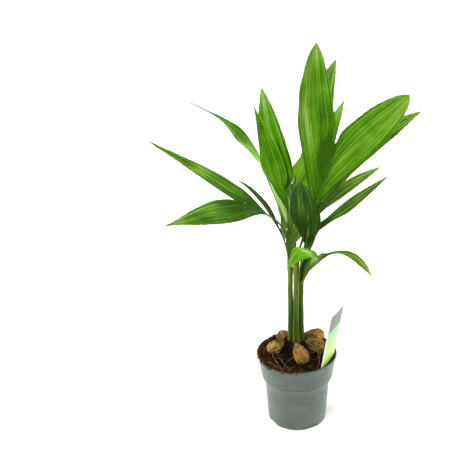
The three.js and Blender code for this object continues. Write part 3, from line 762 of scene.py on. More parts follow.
def printed_card(look):
    """Printed polypropylene card: a grey band over a ground from mint to lime, with a white edge."""
    material, tree, surface = new_material("card_printed")
    place = add_node(tree, "TexCoord", {}, "Object")
    laid = add_node(tree, "Attribute", {}, "Vector", attribute_name="tag_place")
    _, up, ink = add_node(tree, "SeparateXYZ", {"Vector": laid}, ALL_THREE)
    rise = add_node(tree, "MapRange", {"Value": up, "From Min": 0.25, "From Max": 1 - look.band})
    ground = add_node(tree, "Mix", {FACTOR: rise, FIRST: look.lime, SECOND: look.mint}, MIXED, **MIX)
    edge = {"From Min": 0.995 - look.band, "From Max": 1.005 - look.band}
    above = add_node(tree, "MapRange", {"Value": up, **edge})
    banded = add_node(tree, "Mix", {FACTOR: above, FIRST: ground, SECOND: look.grey}, MIXED, **MIX)
    printed = add_node(tree, "Mix", {FACTOR: ink, FIRST: look.edge, SECOND: banded}, MIXED, **MIX)
    # Orange peel of the film, 1.5 mm wide
    peel = add_node(tree, "TexNoise", {"Vector": place, "Scale": 650, "Detail": 1})
    relief = add_node(tree, "Bump", {"Height": peel, "Strength": 0.08, "Distance": 0.2 * MM})
    connect(surface, {"Base Color": printed, "Normal": relief, "Roughness": 0.35, "Specular IOR Level": 0.15})
    return material


def paper_floor(look):
    """Matt paper sweep: one pale tone with a faint tooth."""
    material, tree, surface = new_material("paper_matt")
    place = add_node(tree, "TexCoord", {}, "Object")
    tooth = add_node(tree, "TexNoise", {"Vector": place, "Scale": 900, "Detail": 2})
    relief = add_node(tree, "Bump", {"Height": tooth, "Strength": 0.05, "Distance": 0.2 * MM})
    connect(surface, {"Base Color": look.floor, "Normal": relief, "Roughness": 0.8})
    return material


def pot_outline(look):
    """Heights and radii from the middle of the underside, up the outside, over the lip and down inside."""
    wall = look.wall / MM
    under = POT_HEIGHT - look.lip / MM
    foot = BASE_RADIUS - DRAIN["depth"]
    bend = np.radians(np.linspace(0, 90, 7))
    outside = [(0, 0.2), (0, foot - 6), (0, foot - 0.1), (0, foot + 0.1), (0, foot + 0.4)]
    outside += [(BASE_ROUND * (1 - np.cos(t)), BASE_RADIUS - BASE_ROUND * (1 - np.sin(t))) for t in bend]
    # The wall leans out, more so under the collar
    outside += [(4.4, 43.9), (4.7, 43.95), (14, 44.6), (32, 46), (50, 47.3), (61, 48.1), (63, 48.25)]
    # The collar flares, with points close enough for the crease, and then leans out as the wall does
    outside += [(64, 48.5), (68.4, 50.1), (69.2, 50.4), (70, 50.7), (74.4, 52.6), (76.4, 53.5), (77, 53.7)]
    outside += [(77.5, 53.8), (78, 53.9), (78.5, 54), (79, 54.1), (79.6, 54.2), (80.4, 54.3)]
    outside += [(88, 55.4), (100, 57.1)]
    # The lip stands out over the collar
    outside += [(under - 0.7, 58.6), (under - 0.2, 58.75), (under, 59.1), (under, 59.6), (under + 0.3, 59.95)]
    over = [(POT_HEIGHT - 0.6, RIM_RADIUS), (POT_HEIGHT - 0.15, 59.8), (POT_HEIGHT, 59.4)]
    over += [(POT_HEIGHT, 58), (POT_HEIGHT - 0.15, 57.6), (POT_HEIGHT - 0.6, 57.4)]
    inside = [(z, r - wall) for z, r in reversed(outside) if BASE_ROUND < z < under]
    floor = 2.2
    return outside + over + inside + [(floor, BASE_RADIUS - wall - 1), (floor, 20), (floor, 0.2)]


def pot_surface(look):
    """The outline turned round Z, with its foot lifted where a drain notch cuts it.

    A point under the notch's height and outside its depth rises to that height, by a
    share that is 1 within the notch's width and falls to 0 over half a degree. A bell
    curve over the height sinks the crease, and fades out away from the front.
    """
    half = np.degrees(np.arcsin(DRAIN["width"] / 2 / BASE_RADIUS))
    fade = 0.5
    middles = DRAIN["turn"] + np.arange(DRAIN["count"]) * 360 / DRAIN["count"]
    edges = (middles[:, None] + np.array([-half - fade, -half, half, half + fade])).ravel() % 360
    turns = np.unique(np.concatenate([np.linspace(0, 360, 220, endpoint=False), edges]))
    turns = turns[: len(turns) // 2 * 2]
    rings = turned(pot_outline(look), np.radians(turns))
    height = rings[..., 2]
    radius = np.hypot(rings[..., 0], rings[..., 1])
    outer = np.arange(len(rings))[:, None] < len(rings) // 2
    away = np.abs((turns[:, None] - middles + 180) % 360 - 180).min(1)
    cut = outer & (height < DRAIN["height"]) & (radius > BASE_RADIUS - DRAIN["depth"])
    rise = (DRAIN["height"] - height) * ease((half + fade - away) / fade)
    rings[..., 2] = height = np.where(cut, height + rise, height)
    front = (turns - 270 + 180) % 360 - 180
    fades = CREASE["back"] + (1 - CREASE["back"]) * np.exp(-((front / CREASE["spread"]) ** 4))
    crease = CREASE["depth"] * np.exp(-(((height - CREASE["height"]) / CREASE["breadth"]) ** 2)) * fades
    rings[..., :2] *= (1 - np.where(outer, crease, 0) / radius)[..., None]
    return skin(rings[None])


def soil_height(x, y):
    """Height of the soil: a tilted disc that rises to the mound by ease() of the distance from it."""
    t = np.radians(SOIL["heading"])
    slope = SOIL["tilt"] * (x * np.cos(t) + y * np.sin(t)) / RIM_RADIUS
    off = np.hypot(x - SOIL["middle"][0], y - SOIL["middle"][1])
    mound = 1 - ease(off / SOIL["radius"] - 1)
    return SOIL["level"] + slope * (1 - mound) + SOIL["mound"] * mound


def litter_height(x, y):
    """Height on which loose matter lies: the soil, then up on to the pot's lip, and down outside it."""
    lip_starts, climb, droop = 53, 4, 2.5
    r = np.hypot(x, y)
    on_lip = ease((r - lip_starts) / climb)
    hang = np.maximum(r - RIM_RADIUS, 0) * droop
    return soil_height(x, y) * (1 - on_lip) + (POT_HEIGHT + 0.2) * on_lip - hang


def soil_surface():
    """Closed heap: the soil's height with crumbs of 9, 3 and 1.5 mm over it, turned down at the wall."""
    turns = np.radians(np.linspace(0, 360, 200, endpoint=False))
    radii = np.concatenate([[0.2], np.linspace(1, 55.2, 88)])
    rings = turned([(0, r) for r in radii], turns)
    x, y = rings[..., 0], rings[..., 1]
    flat = grid(x, y, 0)
    crumbs = 0.9 * bumps(flat, 9, 1) + 0.6 * bumps(flat, 3.2, 2) + 0.3 * bumps(flat, 1.5, 3)
    rings[..., 2] = soil_height(x, y) + crumbs
    floor = 90
    under = turned([(96, 54.4), (floor, 53), (floor, 0.2)], turns)
    return skin(np.concatenate([rings, under])[None])


def scattered(rng, count, headings, radii):
    """Seeded places in a sector of the pot: (x, y) with an even spread over its area."""
    turn = np.radians(rng.uniform(*headings, count))
    low, high = radii
    r = np.sqrt(rng.uniform(low**2, high**2, count))
    return grid(r * np.cos(turn), r * np.sin(turn))


def strands(look, seed, count, headings, radii, lengths, lift):
    """Loose fibres: each lies round a seeded place, runs a seeded way and curls.

    A strand's point at share s is its place plus length times (s - 1/2) along its way,
    plus a bow of sin(pi s) and a swing of sin(2 pi s) square to it, at the litter's
    height plus a low arch.
    """
    rng = np.random.default_rng(seed)
    place = scattered(rng, count, headings, radii)
    turn = rng.uniform(0, 2 * np.pi, count)
    length = rng.uniform(*lengths, count)
    s = np.linspace(0, 1, 9)
    way = grid(np.cos(turn), np.sin(turn))
    aside = grid(-np.sin(turn), np.cos(turn))
    bow = length * rng.normal(0, STRAND["bow"], count)
    swing = length * rng.normal(0, STRAND["swing"], count)
    run = (s - 0.5) * length[:, None]
    bend = np.sin(np.pi * s) * bow[:, None] + np.sin(2 * np.pi * s) * swing[:, None]
    flat = place[:, None] + way[:, None] * run[..., None] + aside[:, None] * bend[..., None]
    reach = np.hypot(flat[..., 0], flat[..., 1])
    flat *= (np.minimum(reach, RIM_RADIUS + STRAND["overhang"]) / np.maximum(reach, 1e-6))[..., None]
    arch = rng.uniform(*lift, count)[:, None] * (0.25 + np.sin(np.pi * s))
    z = litter_height(flat[..., 0], flat[..., 1]) + arch
    path = raised(flat, z)
    radius = look.strand / MM / 2 * rng.uniform(0.6, 1.5, (count, 1)) * (1 - STRAND["taper"] * s**3)
    return carry(path, np.array([0.03, 0.02, 1.0]), radius, 4)


def crumb_surface(look, seed, count, headings, radii):
    """Loose crumbs: small lumps with seeded sizes, each point of a six-sided ball moved in or out."""
    rng = np.random.default_rng(seed)
    place = scattered(rng, count, headings, radii)
    size = look.crumb / MM / 2 * rng.lognormal(-0.1, 0.35, count)
    rise = np.radians([-80, -35, 10, 50, 82])
    turn = np.arange(6) * np.pi / 3
    ball = turned(grid(np.sin(rise), np.cos(rise)), turn)
    lump = ball[None] * rng.uniform(0.6, 1.25, (count, 5, 6, 1)) * rng.uniform(0.5, 1.3, (count, 1, 1, 3))
    lump = lump * size[:, None, None, None]
    middle = raised(place, litter_height(*place.T) + size * 0.35)
    return skin(middle[:, None, None] + lump)


def root_surface(route):
    """A thick root: a quadratic curve through three points, wavering and knotty, tapering to 60%."""
    start, middle, end, width = route
    s = np.linspace(0, 1, 40)[:, None]
    start, middle, end = (np.array(p, float) for p in (start, middle, end))
    lead = 2 * middle - (start + end) / 2
    path = curve(s, start, lead, end)
    path = path + 0.5 * np.stack([bumps(path, 14, k) for k in (4, 5, 6)], -1)
    knots = 1 + 0.12 * bumps(path, 4, 7)
    radius = width / 2 * (1 - 0.4 * s[:, 0]) * knots
    radius[[0, -1]] *= BLUNT
    return skin(carry(path, np.array([0.0, 0.1, 1.0]), radius, 10)[None])


def joined(parts):
    """Several (points, faces) as one."""
    starts = np.cumsum([0] + [len(points) for points, _ in parts])
    points = np.concatenate([points for points, _ in parts])
    return points, np.concatenate([faces + start for (_, faces), start in zip(parts, starts)])


def turning(heading, dip):
    """Matrix that dips the X axis by one angle and then turns it to the heading."""
    h, d = np.radians([heading, dip])
    dipped = np.array([[np.cos(d), 0, np.sin(d)], [0, 1, 0], [-np.sin(d), 0, np.cos(d)]])
    turned_round = np.array([[np.cos(h), -np.sin(h), 0], [np.sin(h), np.cos(h), 0], [0, 0, 1]])
    return turned_round @ dipped


def nut_points(look, nut, t, turn, seed, proud=0.0):
    """Points of a husk: a pear with shaggy ridges.

    At t, from 0 at the inner end to pi at the outer, and at the turn round its axis,
    the radius is half the width times sin t (1 - fatter cos t), less a neck of
    slim e^-((t - 0.8) / 0.6)², plus broad dents and crests 1 - 2 |bumps| along the nut.
    """
    middle, heading, dip, length, width, _, slim = nut
    egg = np.sin(t) * (1 - NUT_FATTER * np.cos(t)) * (1 - slim * np.exp(-(((t - 0.8) / 0.6) ** 2)))
    radius = width / 2 * egg + proud
    along = -np.cos(t) * (length / 2 + proud)
    local = grid(along, radius * np.cos(turn), radius * np.sin(turn))
    # Dents 0.8 mm deep and 11 mm wide, three times as long
    relief = 0.8 * bumps(local * [0.35, 1, 1], 11, seed + 1)
    for size, share in RIDGES:
        crest = 1 - 2 * np.abs(bumps(local * [0.16, 1, 1], size, seed + round(size)))
        relief = relief + look.ridge / MM * share * crest
    local[..., 1:] *= (1 + relief * np.sin(t) ** 0.5 / (width / 2))[..., None]
    return local @ turning(heading, dip).T + np.array(middle, float)


def nut_surface(look, nut, seed):
    """The husk as a closed skin, with its place in mm, for its fibres, and its age, 1 at the neck."""
    t = np.radians(np.concatenate([[1.5], np.linspace(4, 176, 84), [178.5]]))[:, None]
    turn = full_turn(150)
    rings = nut_points(look, nut, t, turn[None], seed)
    length, width = nut[3], nut[4]
    laid = grid(-np.cos(t) * length / 2, round_way(turn, width / 2), 0.3 * np.sin(turn))
    age = ease((2 - t) / 1.3) + 0.35 * bumps(rings, 12, seed + 5)
    return skin(rings[None]), {"husk_place": laid.reshape(-1, 3), "husk_age": np.clip(age, 0, 1).ravel()}


def nut_hairs(look, nut, seed):
    """Loose fibres on a husk: each follows the skin along the nut, and its last third stands off."""
    rng = np.random.default_rng(seed + 3)
    count = look.hairs
    s = np.linspace(0, 1, 8)
    first = rng.uniform(0.35, 2.2, (count, 1))
    t = np.clip(first + s * rng.uniform(0.3, 0.95, (count, 1)), 0.1, 3.1)
    turn = rng.uniform(0, 2 * np.pi, (count, 1)) + s * rng.normal(0, 0.16, (count, 1))
    proud = 0.12 + rng.uniform(0, 1.6, (count, 1)) * ease((s - 0.55) / 0.45) ** 2
    path = np.stack([nut_points(look, nut, t[:, i], turn[:, i], seed, 0.1) for i in range(len(s))], 1)
    out = unit(path - np.array(nut[0], float))
    path = path + out * proud[..., None]
    radius = rng.uniform(0.1, 0.28, (count, 1)) * (1 - 0.7 * s)
    return skin(carry(path, np.array([0.13, 0.21, 1.0]), radius, 4))


def stem_at(stem, z):
    """Axis and radius of a stem at heights z: a straight line from foot to top."""
    foot, top, width = stem
    share = (z - GROUND) / (top[2] - GROUND)
    flat = np.array(foot) + (np.array(top[:2]) - np.array(foot)) * share[..., None]
    radius = (width[0] + (width[1] - width[0]) * share) / 2
    return raised(flat, z), radius


def stem_surface(look, stem, seed):
    """A stem of wrapped sheaths, with (mm up, mm round, share of brown) for its veins.

    The radius is the stem's own, swollen at its foot, plus a step for each sheath that
    ends above, where a sheath's mouth is a slanted line round the stem, plus fine
    grooves. Over its top it draws in to a dome between the stalks.
    """
    rng = np.random.default_rng(seed)
    foot, top, _ = stem
    low = soil_height(*foot) - STEM["sunk"]
    dome = top[2] + np.array([0, 2.5, 4.5, 6, 6.6])
    z = np.concatenate([[low], np.linspace(low + 0.5, top[2] - 3, 120), dome])
    axis, radius = stem_at(stem, z)
    share = (z - GROUND) / (top[2] - GROUND)
    radius = radius * (STEM_SWELL + (1 - STEM_SWELL) * ease(share / STEM_SWELL_SHARE))
    radius = radius * np.sqrt(np.clip(1 - ((z - top[2] + 3) / 10).clip(0) ** 2, 0.01, 1))
    turn = full_turn(40)
    shape = np.ones((len(z), len(turn)))
    edge = np.zeros_like(shape)
    for mouth in MOUTHS:
        height = GROUND + (mouth + rng.uniform(-MOUTH_VARIES, MOUTH_VARIES)) * (top[2] - GROUND)
        line = height + MOUTH["slant"] * np.cos(turn - rng.uniform(0, 2 * np.pi))
        below = ease((line - z[:, None]) / MOUTH["step"] + 0.5)
        shape += below * look.step / MM / STEM_RADIUS
        edge = np.maximum(edge, np.exp(-(((z[:, None] - line) / MOUTH["edge"]) ** 2)))
    shape += 0.012 * np.sin(turn * 7 + rng.uniform(0, 6)) + 0.008 * np.sin(turn * 17 + rng.uniform(0, 6))
    side = grid(np.cos(turn), np.sin(turn), 0)
    aside = [bumps(axis, STEM["waver_length"], seed + k) for k in (1, 2)]
    axis = axis + STEM["waver"] * grid(*aside, 0)
    rings = axis[:, None] + (radius[:, None] * shape)[..., None] * side[None]
    brown = 0.8 * ease(1 - (z - GROUND) / STEM["brown"])[:, None] + 0.45 * edge
    brown = brown + 0.5 * np.clip(bumps(rings * [1, 1, 0.3], 5, seed + 4) - 1.3, 0, 1)
    laid = grid(z[:, None], round_way(turn, STEM_ROUND), np.clip(brown, 0, 0.9))
    return skin(rings[None]), laid.reshape(-1, 3)


def stalk_foot(leaf):
    """Where a stalk starts: beside its stem, or on the stem's top, off the axis by the ring."""
    stem = STEMS[leaf.stem]
    rise = STALK["rise"]
    if leaf.side_height:
        axis, radius = stem_at(stem, np.array(float(leaf.side_height)))
        out = np.array([leaf.heel[0] - axis[0], leaf.heel[1] - axis[1], 0])
        return axis + unit(out) * (radius + rise + STALK["foot"])
    return np.array(stem[1], float) + STALK["ring"] * aim((leaf.spring, 0)) + np.array([0, 0, rise])


def stalk_line(leaf):
    """Foot, and the points of a stalk's bend and of its straight midrib.

    The bend is a cubic curve from the foot to the heel, upright at first and in line
    with the midrib at last. The midrib runs straight to the notch.
    """
    foot = stalk_foot(leaf)
    heel = np.array(leaf.heel, float)
    rib = aim(leaf.midrib[:2])
    span = np.linalg.norm(heel - foot)
    s = np.linspace(0, 1, 60)[:, None]
    near = foot + np.array([0, 0, STALK["upright"] * span])
    far = heel - rib * STALK["come_in"] * span
    bend = (1 - s) ** 3 * foot + 3 * s * (1 - s) ** 2 * near + 3 * s * s * (1 - s) * far + s**3 * heel
    straight = heel + rib * leaf.midrib[2] * np.linspace(0.02, 1.03, 34)[:, None]
    return foot, bend, straight


def lengths_along(line):
    """Length run through at each point of a line."""
    return np.concatenate([[0], np.cumsum(np.linalg.norm(np.diff(line, axis=0), axis=1))])


def channel(t):
    """Outline of a stalk, flatter below and above, with five low ridges: 1 - 0.1 sin² t + 0.03 sin 5t."""
    return 1 - 0.1 * np.sin(t) ** 2 + 0.03 * np.sin(5 * t)


def stalk_surface(leaf, seed):
    """A stalk with its sheathing foot and the midrib, and (mm along, mm round, brown).

    The foot drops into the sheath below it and flares: the radius grows by the flare,
    which fades as e to the power of minus the height. Above the heel it is the midrib.
    """
    foot, bend, straight = stalk_line(leaf)
    drop, way_in, flare = FEET["side" if leaf.side_height else "top"]
    inward = np.array(STEMS[leaf.stem][1], float) * [1, 1, 0] - foot * [1, 1, 0]
    low = np.linspace(-1, 0, 12, endpoint=False)[:, None]
    tuck = foot + low * np.array([0, 0, drop]) + low**2 * inward * way_in
    path = np.concatenate([tuck, bend, straight])
    above = path[:, 2] - foot[2]
    radius = np.concatenate([
        np.full(len(tuck), STALK["foot"]),
        STALK["foot"] + (STALK["heel"] - STALK["foot"]) * np.linspace(0, 1, len(bend)),
        STALK["heel"] + (STALK["end"] - STALK["heel"]) * np.linspace(0.02, 1, len(straight)) ** 0.5,
    ])
    flare_starts = -2
    fades = np.exp(-np.maximum(above - flare_starts, 0) / FLARE_FADES)
    radius = radius + flare * fades * (path[:, 2] < leaf.heel[2])
    radius[[0, -1]] *= BLUNT
    sides = 16
    rings = carry(path, np.array([0.0, 1.0, 0.0]), radius, sides, channel)
    turn = full_turn(sides)
    spots = 0.5 * np.clip(bumps(rings, 9, seed) - 1.2, 0, 1)
    brown = spots + 0.35 * ease(1 - above / BROWN_FADES)[:, None]
    along = lengths_along(path)[:, None]
    laid = grid(along, round_way(turn, STALK_ROUND), np.clip(brown, 0, 0.7))
    return skin(rings[None]), laid.reshape(-1, 3)


def stalk_points(leaf, span, s):
    """Points of a stalk with its midrib, at shares of its length that go through the span with s."""
    _, bend, straight = stalk_line(leaf)
    line = np.concatenate([bend, straight])
    run = lengths_along(line)
    shares = span[0] + (span[1] - span[0]) * s
    return np.stack([np.interp(shares * run[-1], run, line[:, k]) for k in range(3)], -1)


def base_surface(look, base):
    """A leaf base as a closed thin skin, with the numbers that its material reads.

    It is ruled between two edges: (1 - t) inner(s) + t outer(s), plus pleats along s,
    and it sags by a bell in t towards the stems, as a sheath that wraps them.
    """
    leaves = {leaf.name: leaf for leaf in LEAVES}
    pleats = 3
    sag = 1.2
    inside_stem = 0.7
    s = np.linspace(0, 1, 40)
    t = np.linspace(0, 1, pleats * 6 + 1)[None, :, None]
    outer = stalk_points(leaves[base["leaf"]], base["edge"], s)
    if "stem" in base:
        low, high = base["along"]
        inner, radius = stem_at(STEMS[base["stem"]], low + (high - low) * s)
        inner = inner + (radius * inside_stem)[:, None] * aim((-40, 0))
    else:
        inner = stalk_points(leaves[base["other"]], base["along"], s)
    surface = (1 - t) * inner[:, None] + t * outer[:, None]
    normal = unit(np.cross(np.gradient(surface, axis=0), outer[:, None] - inner[:, None]))
    normal = normal * np.sign(-normal[..., 1:2])
    fine = look.pleat / MM * 0.5 * zigzag(t * pleats)
    surface = surface + normal * (fine - sag * np.sin(np.pi * t) * ease(s / 0.3)[:, None, None])
    thick = look.thick / MM / 2
    rings = both_sides(surface + normal * thick, surface - normal * thick)
    place = grid(0.2 + 0.3 * s[:, None], t[..., 0] * pleats, 0)
    laid = both_sides(place, place).reshape(-1, 3)
    plain = np.ones(len(laid))
    # The whole base is painted darker: painted shade where it lies deep among the stalks
    return skin(rings[None]), {"leaf_place": laid, "leaf_under": 0 * plain, "leaf_painted_shading": -0.6 * plain}


def half_width(blade, u):
    """Half the width at a share u of the length: a power of u up to the widest share, then one of 1 - u."""
    m, b = blade.widest, blade.taper
    grown = (np.maximum(u, 1e-6) / m) ** (b * m / (1 - m))
    fallen = (np.clip(1 - u, 0, 1) / (1 - m)) ** b
    least = blade.least * (1 - 0.6 * ease((u - 0.9) / 0.1))
    return np.maximum(blade.width / 2 * grown * fallen, least / 2)


def blade_rows(leaf, blade, u):
    """Middles, half widths as vectors, upward normals and turned shares of the rows at u.

    The middle follows a quadratic curve from the root's middle, by a lead point, to the
    tip. The half width turns from lying along the midrib to lying square to that curve
    and to the way the blade faces.
    """
    w = 1 - u
    rib = aim(leaf.midrib[:2])
    start, end = blade.root
    root_half = leaf.midrib[2] * (end - start) / 2
    root = np.array(leaf.heel, float) + rib * leaf.midrib[2] * (start + end) / 2
    first = aim(blade.leave)
    off = unit(first - rib * first.dot(rib))
    lead = root + first * blade.lead * blade.reach
    tip = root + aim(blade.tip) * blade.reach
    # The fine blade starts inside the midrib's skin, so that the two grow together
    middle = curve(u, root, lead, tip) + off * BLADE["off"] * w * w
    along = unit(2 * w * (lead - root) + 2 * u * (tip - lead))
    face = aim(blade.face)
    faces = unit(w * face + u * aim(blade.face_tip or blade.face))
    across = unit(np.cross(faces, along))
    if np.cross(face, along[0]).dot(rib) > 0:
        across = -across
    square = ease(u / blade.join)
    half = -rib * (1 - square) * root_half + across * square * half_width(blade, u)
    normal = unit(np.cross(along, across))
    normal = normal * np.sign((normal * faces).sum(-1, keepdims=True))
    return middle, half, normal, square


def blade_painted_shading(blade, u, v):
    """Painted light and shade on a blade at u and v: painted shade towards its heel, painted light towards
    its tip, plus its own spots of painted highlight and painted shadow.

    A spot (u, v, length, breadth, strength) adds strength times a bell curve.
    """
    painted_shading = -0.7 * ease(1 - u / 0.4) + 0.25 * ease((u - 0.6) / 0.4) + 0 * v
    for at, aside, length, breadth, strength in blade.painted_shading:
        painted_shading = painted_shading + strength * np.exp(-(((u - at) / length) ** 2) - ((v - aside) / breadth) ** 2)
    return painted_shading


def blade_surface(look, leaf, blade, seed):
    """A blade as a closed thin skin, with the numbers that its material reads.

    A point at share u and across v is the row's middle plus v times its half width,
    lifted along the normal by the cup, by a zigzag pleat between the ribs, by a slow
    wave of the margins and by broad bumps. Near the tip the half width is notched by
    a sawtooth, and each of the blade's trims (u, length, side, share) draws one side in
    by a bell curve, or out where its share is negative. The lower side lies a thickness
    below, which thins to the margins.
    """
    rng = np.random.default_rng(seed)
    count = max(3, round(blade.width * MM / look.rib))
    u = np.linspace(0, 1, max(50, round(blade.reach / 2)))[:, None]
    v = np.linspace(-1, 1, count * 6 + 1)[None, :, None]
    middle, half, normal, square = blade_rows(leaf, blade, u)
    wide = np.linalg.norm(half, axis=-1, keepdims=True)
    saw = (u * blade.reach / TEETH["every"] + rng.uniform()) % 1
    deepest = 0.3
    grown = ease((u - TEETH["begin"]) / TEETH["grow"])
    notch = 1 - np.minimum(look.tooth / MM / wide, deepest) * saw * grown
    notch = notch * (1 + TEETH["ripple"] * np.sin(u * blade.reach / RIPPLE_LENGTH + rng.uniform(0, 6)))
    heel_ends = 0.02
    margin = 1 - (1 - np.where(u > heel_ends, notch, 1))[:, None] * v**6
    for at, length, side, share in blade.trims:
        margin = margin * (1 - share * np.exp(-(((u - at) / length) ** 2))[:, None] * (v * side > 0))
    number = (v + 1) / 2 * count
    fold = BLADE["sharp"] * zigzag(number) + (1 - BLADE["sharp"]) * np.cos(2 * np.pi * number)
    fine = look.pleat / MM * np.clip(wide / (blade.width / 2), 0, 1)[:, None] * ease(u / 0.1)[:, None]
    wave = np.sin(u * blade.reach / rng.uniform(9, 14) + rng.uniform(0, 6))[:, None] * np.sign(v) * v**4
    beyond_heel = ease(u / 0.3)[:, None]
    cup = (wide * square)[:, None] * BLADE["cup"] * (v * v - 0.5)
    surface = middle[:, None] + v * half[:, None] * margin
    broad = bumps(surface, BLADE["bump_size"], seed + 1)[..., None] * BLADE["bump"] * beyond_heel
    surface = surface + normal[:, None] * (cup + fine * fold + BLADE["wave"] * wave * beyond_heel + broad)
    thick = look.thick / MM * (1 - THINNER * v**8) * (0.5 + 0.5 * np.clip(wide / 4, 0, 1))[:, None]
    normal = normal[:, None]
    rings = both_sides(surface + normal * thick / 2, surface - normal * thick / 2)
    # The material's numbers are a grid of u by v
    v = v[..., 0]
    at_margin = 0.5 * v**16 * ease((u - 0.3) / 0.3)
    dry = blade.dry * np.maximum(ease((u - 1 + 0.13 * blade.dry) / 0.06), at_margin)
    place = grid(u, number[..., 0], dry)
    # The pale skin of the underside starts beyond the heel
    under = ease((u - 0.15) / 0.25) + 0 * dry
    # Painted light and shade over the blade, the same above and below
    painted_shading = blade_painted_shading(blade, u, v)
    return skin(rings[None]), {
        "leaf_place": both_sides(place, place).reshape(-1, 3),
        "leaf_under": both_sides(0 * under, under).ravel(),
        "leaf_painted_shading": both_sides(painted_shading, painted_shading).ravel(),
    }


def tag_surface(look):
    """The care tag as a closed thin skin, with (share across, share up, share printed).

    Its half width is that of the point at its foot, grows to the full width where it
    leaves the soil, and draws in at the top by the cut corners. It bows a little.
    """
    half = TAG["width"] / 2
    heights = [-TAG["below"], -TAG["taper"], TAG["above"] - TAG["corner"], TAG["above"] - 0.9, TAG["above"]]
    widths = [TAG["point"] / 2, half, half, half - TAG["corner"] + 0.9, half - TAG["corner"]]
    h = np.unique(np.concatenate([np.linspace(heights[0], heights[-1], 90), heights]))[:, None]
    v = np.concatenate([[-1, -0.99], np.linspace(-0.97, 0.97, 39), [0.99, 1]])[None]
    across = v * np.interp(h, heights, widths)
    curl = TAG["curl"] * ((h + TAG["below"]) / TAG["curl_length"]) ** 2
    bow = -TAG["bow"] * (across / half) ** 2 + curl
    thick = look.thick / MM / 2 * np.where(np.abs(v) > TAG["edge"], 0.6, 1)
    face, back = (grid(bow + side * thick, across, h) for side in (1, -1))
    local = both_sides(face, back)
    world = local @ turning(TAG["heading"], TAG["lean"]).T + np.array([*TAG["middle"], POT_HEIGHT])
    printed = (np.abs(v) < TAG["print"]) * (h < TAG["above"] - TAG["margin"])
    shares = grid((v + 1) / 2, np.clip(h / TAG["above"], 0, 1), printed)
    return skin(world[None]), both_sides(shares, shares * [1, 1, 0]).reshape(-1, 3)


class BuildPot(bpy.types.Operator):
    """Build the moulded pot"""

    bl_idname = "palm.build_pot"
    bl_label = "Pot"

    def execute(self, context):
        look = context.scene.palm_pot
        make_piece("pot_shell", pot_surface(look), moulded_polypropylene(look), "pot", ["pot"])
        return {"FINISHED"}


class BuildSoil(bpy.types.Operator):
    """Build the soil with its crumbs, coir strands and roots"""

    bl_idname = "palm.build_soil"
    bl_label = "Soil and coir"

    def execute(self, context):
        look = context.scene.palm_soil
        peat = loose_matter("peat_moist", look.peat, look.humus, 6)
        damp = loose_matter("coir_damp", look.peat, look.damp, 5)
        brown = loose_matter("coir_brown", look.peat, look.coir, 5)
        pale = loose_matter("coir_pale", look.coir, look.pale, 5)
        root = loose_matter("root_skin", look.coir, look.root, 4, 0.7)
        make_piece("soil_heap", soil_surface(), peat, "soil", ["soil"])
        dark = crumb_surface(look, 11, look.crumbs, ALL_ROUND, (4, 55))
        make_piece("crumbs_dark", dark, peat, "soil")
        warm = crumb_surface(look, 12, look.crumbs // 3, (80, 250), (36, 55))
        make_piece("crumbs_brown", warm, brown, "soil")
        everywhere = strands(look, 13, look.strands, ALL_ROUND, (0, 52), (8, 26), (0.3, 1.6))
        make_piece("coir_strands_damp", skin(everywhere), damp, "soil")
        fringe = strands(look, 14, look.strands, (85, 270), (46, 57.8), (8, 24), (0.3, 2.4))
        make_piece("coir_strands", skin(fringe), brown, "soil")
        light = strands(look, 15, look.strands // 6, ALL_ROUND, (6, 54), (8, 24), (0.6, 2.2))
        rim = strands(look, 16, look.strands // 4, (90, 280), (48, 58), (8, 22), (0.4, 2))
        make_piece("coir_strands_pale", skin(np.concatenate([light, rim])), pale, "soil")
        make_piece("roots", joined([root_surface(route) for route in ROOTS]), root, "soil")
        return {"FINISHED"}


class BuildNuts(bpy.types.Operator):
    """Build the five sprouted nuts with their loose fibres"""

    bl_idname = "palm.build_nuts"
    bl_label = "Nuts"

    def execute(self, context):
        look = context.scene.palm_nuts
        tones = {"straw": look.straw, "brown": look.brown, "tan": look.tan}
        husks = {kind: husk_fibre(f"husk_{kind}", look, tone) for kind, tone in tones.items()}
        for seed, (name, nut) in enumerate(NUTS.items(), 31):
            surface, numbers = nut_surface(look, nut, seed * 10)
            make_piece(f"husk_{name}", surface, husks[nut[5]], "nut_husk", [name], **numbers)
        hair = loose_matter("husk_hair", look.brown, look.straw, 5, 0.75)
        hairs = [nut_hairs(look, nut, seed * 10) for seed, nut in enumerate(NUTS.values(), 31)]
        make_piece("husk_hairs", joined(hairs), hair, "nut_husk")
        return {"FINISHED"}


class BuildStems(bpy.types.Operator):
    """Build the five stems"""

    bl_idname = "palm.build_stems"
    bl_label = "Stems"

    def execute(self, context):
        look = context.scene.palm_stems
        skin_of_stem = sheath_skin("sheath_waxy", look, 0.22)
        for seed, (name, stem) in enumerate(STEMS.items(), 51):
            surface, laid = stem_surface(look, stem, seed * 10)
            make_piece(f"sheath_{name}", surface, skin_of_stem, "stem", [f"stem_{name}"], stem_place=laid)
        return {"FINISHED"}


class BuildStalks(bpy.types.Operator):
    """Build the leaf stalks with their midribs"""

    bl_idname = "palm.build_stalks"
    bl_label = "Stalks"

    def execute(self, context):
        skin_of_stalk = sheath_skin("stalk_waxy", context.scene.palm_stems, 0.55)
        for seed, leaf in enumerate(LEAVES, 71):
            surface, laid = stalk_surface(leaf, seed * 10)
            nodes = [f"stalk_{leaf.name}"]
            make_piece(f"rib_{leaf.name}", surface, skin_of_stalk, "leaf_stalk", nodes, stem_place=laid)
        return {"FINISHED"}


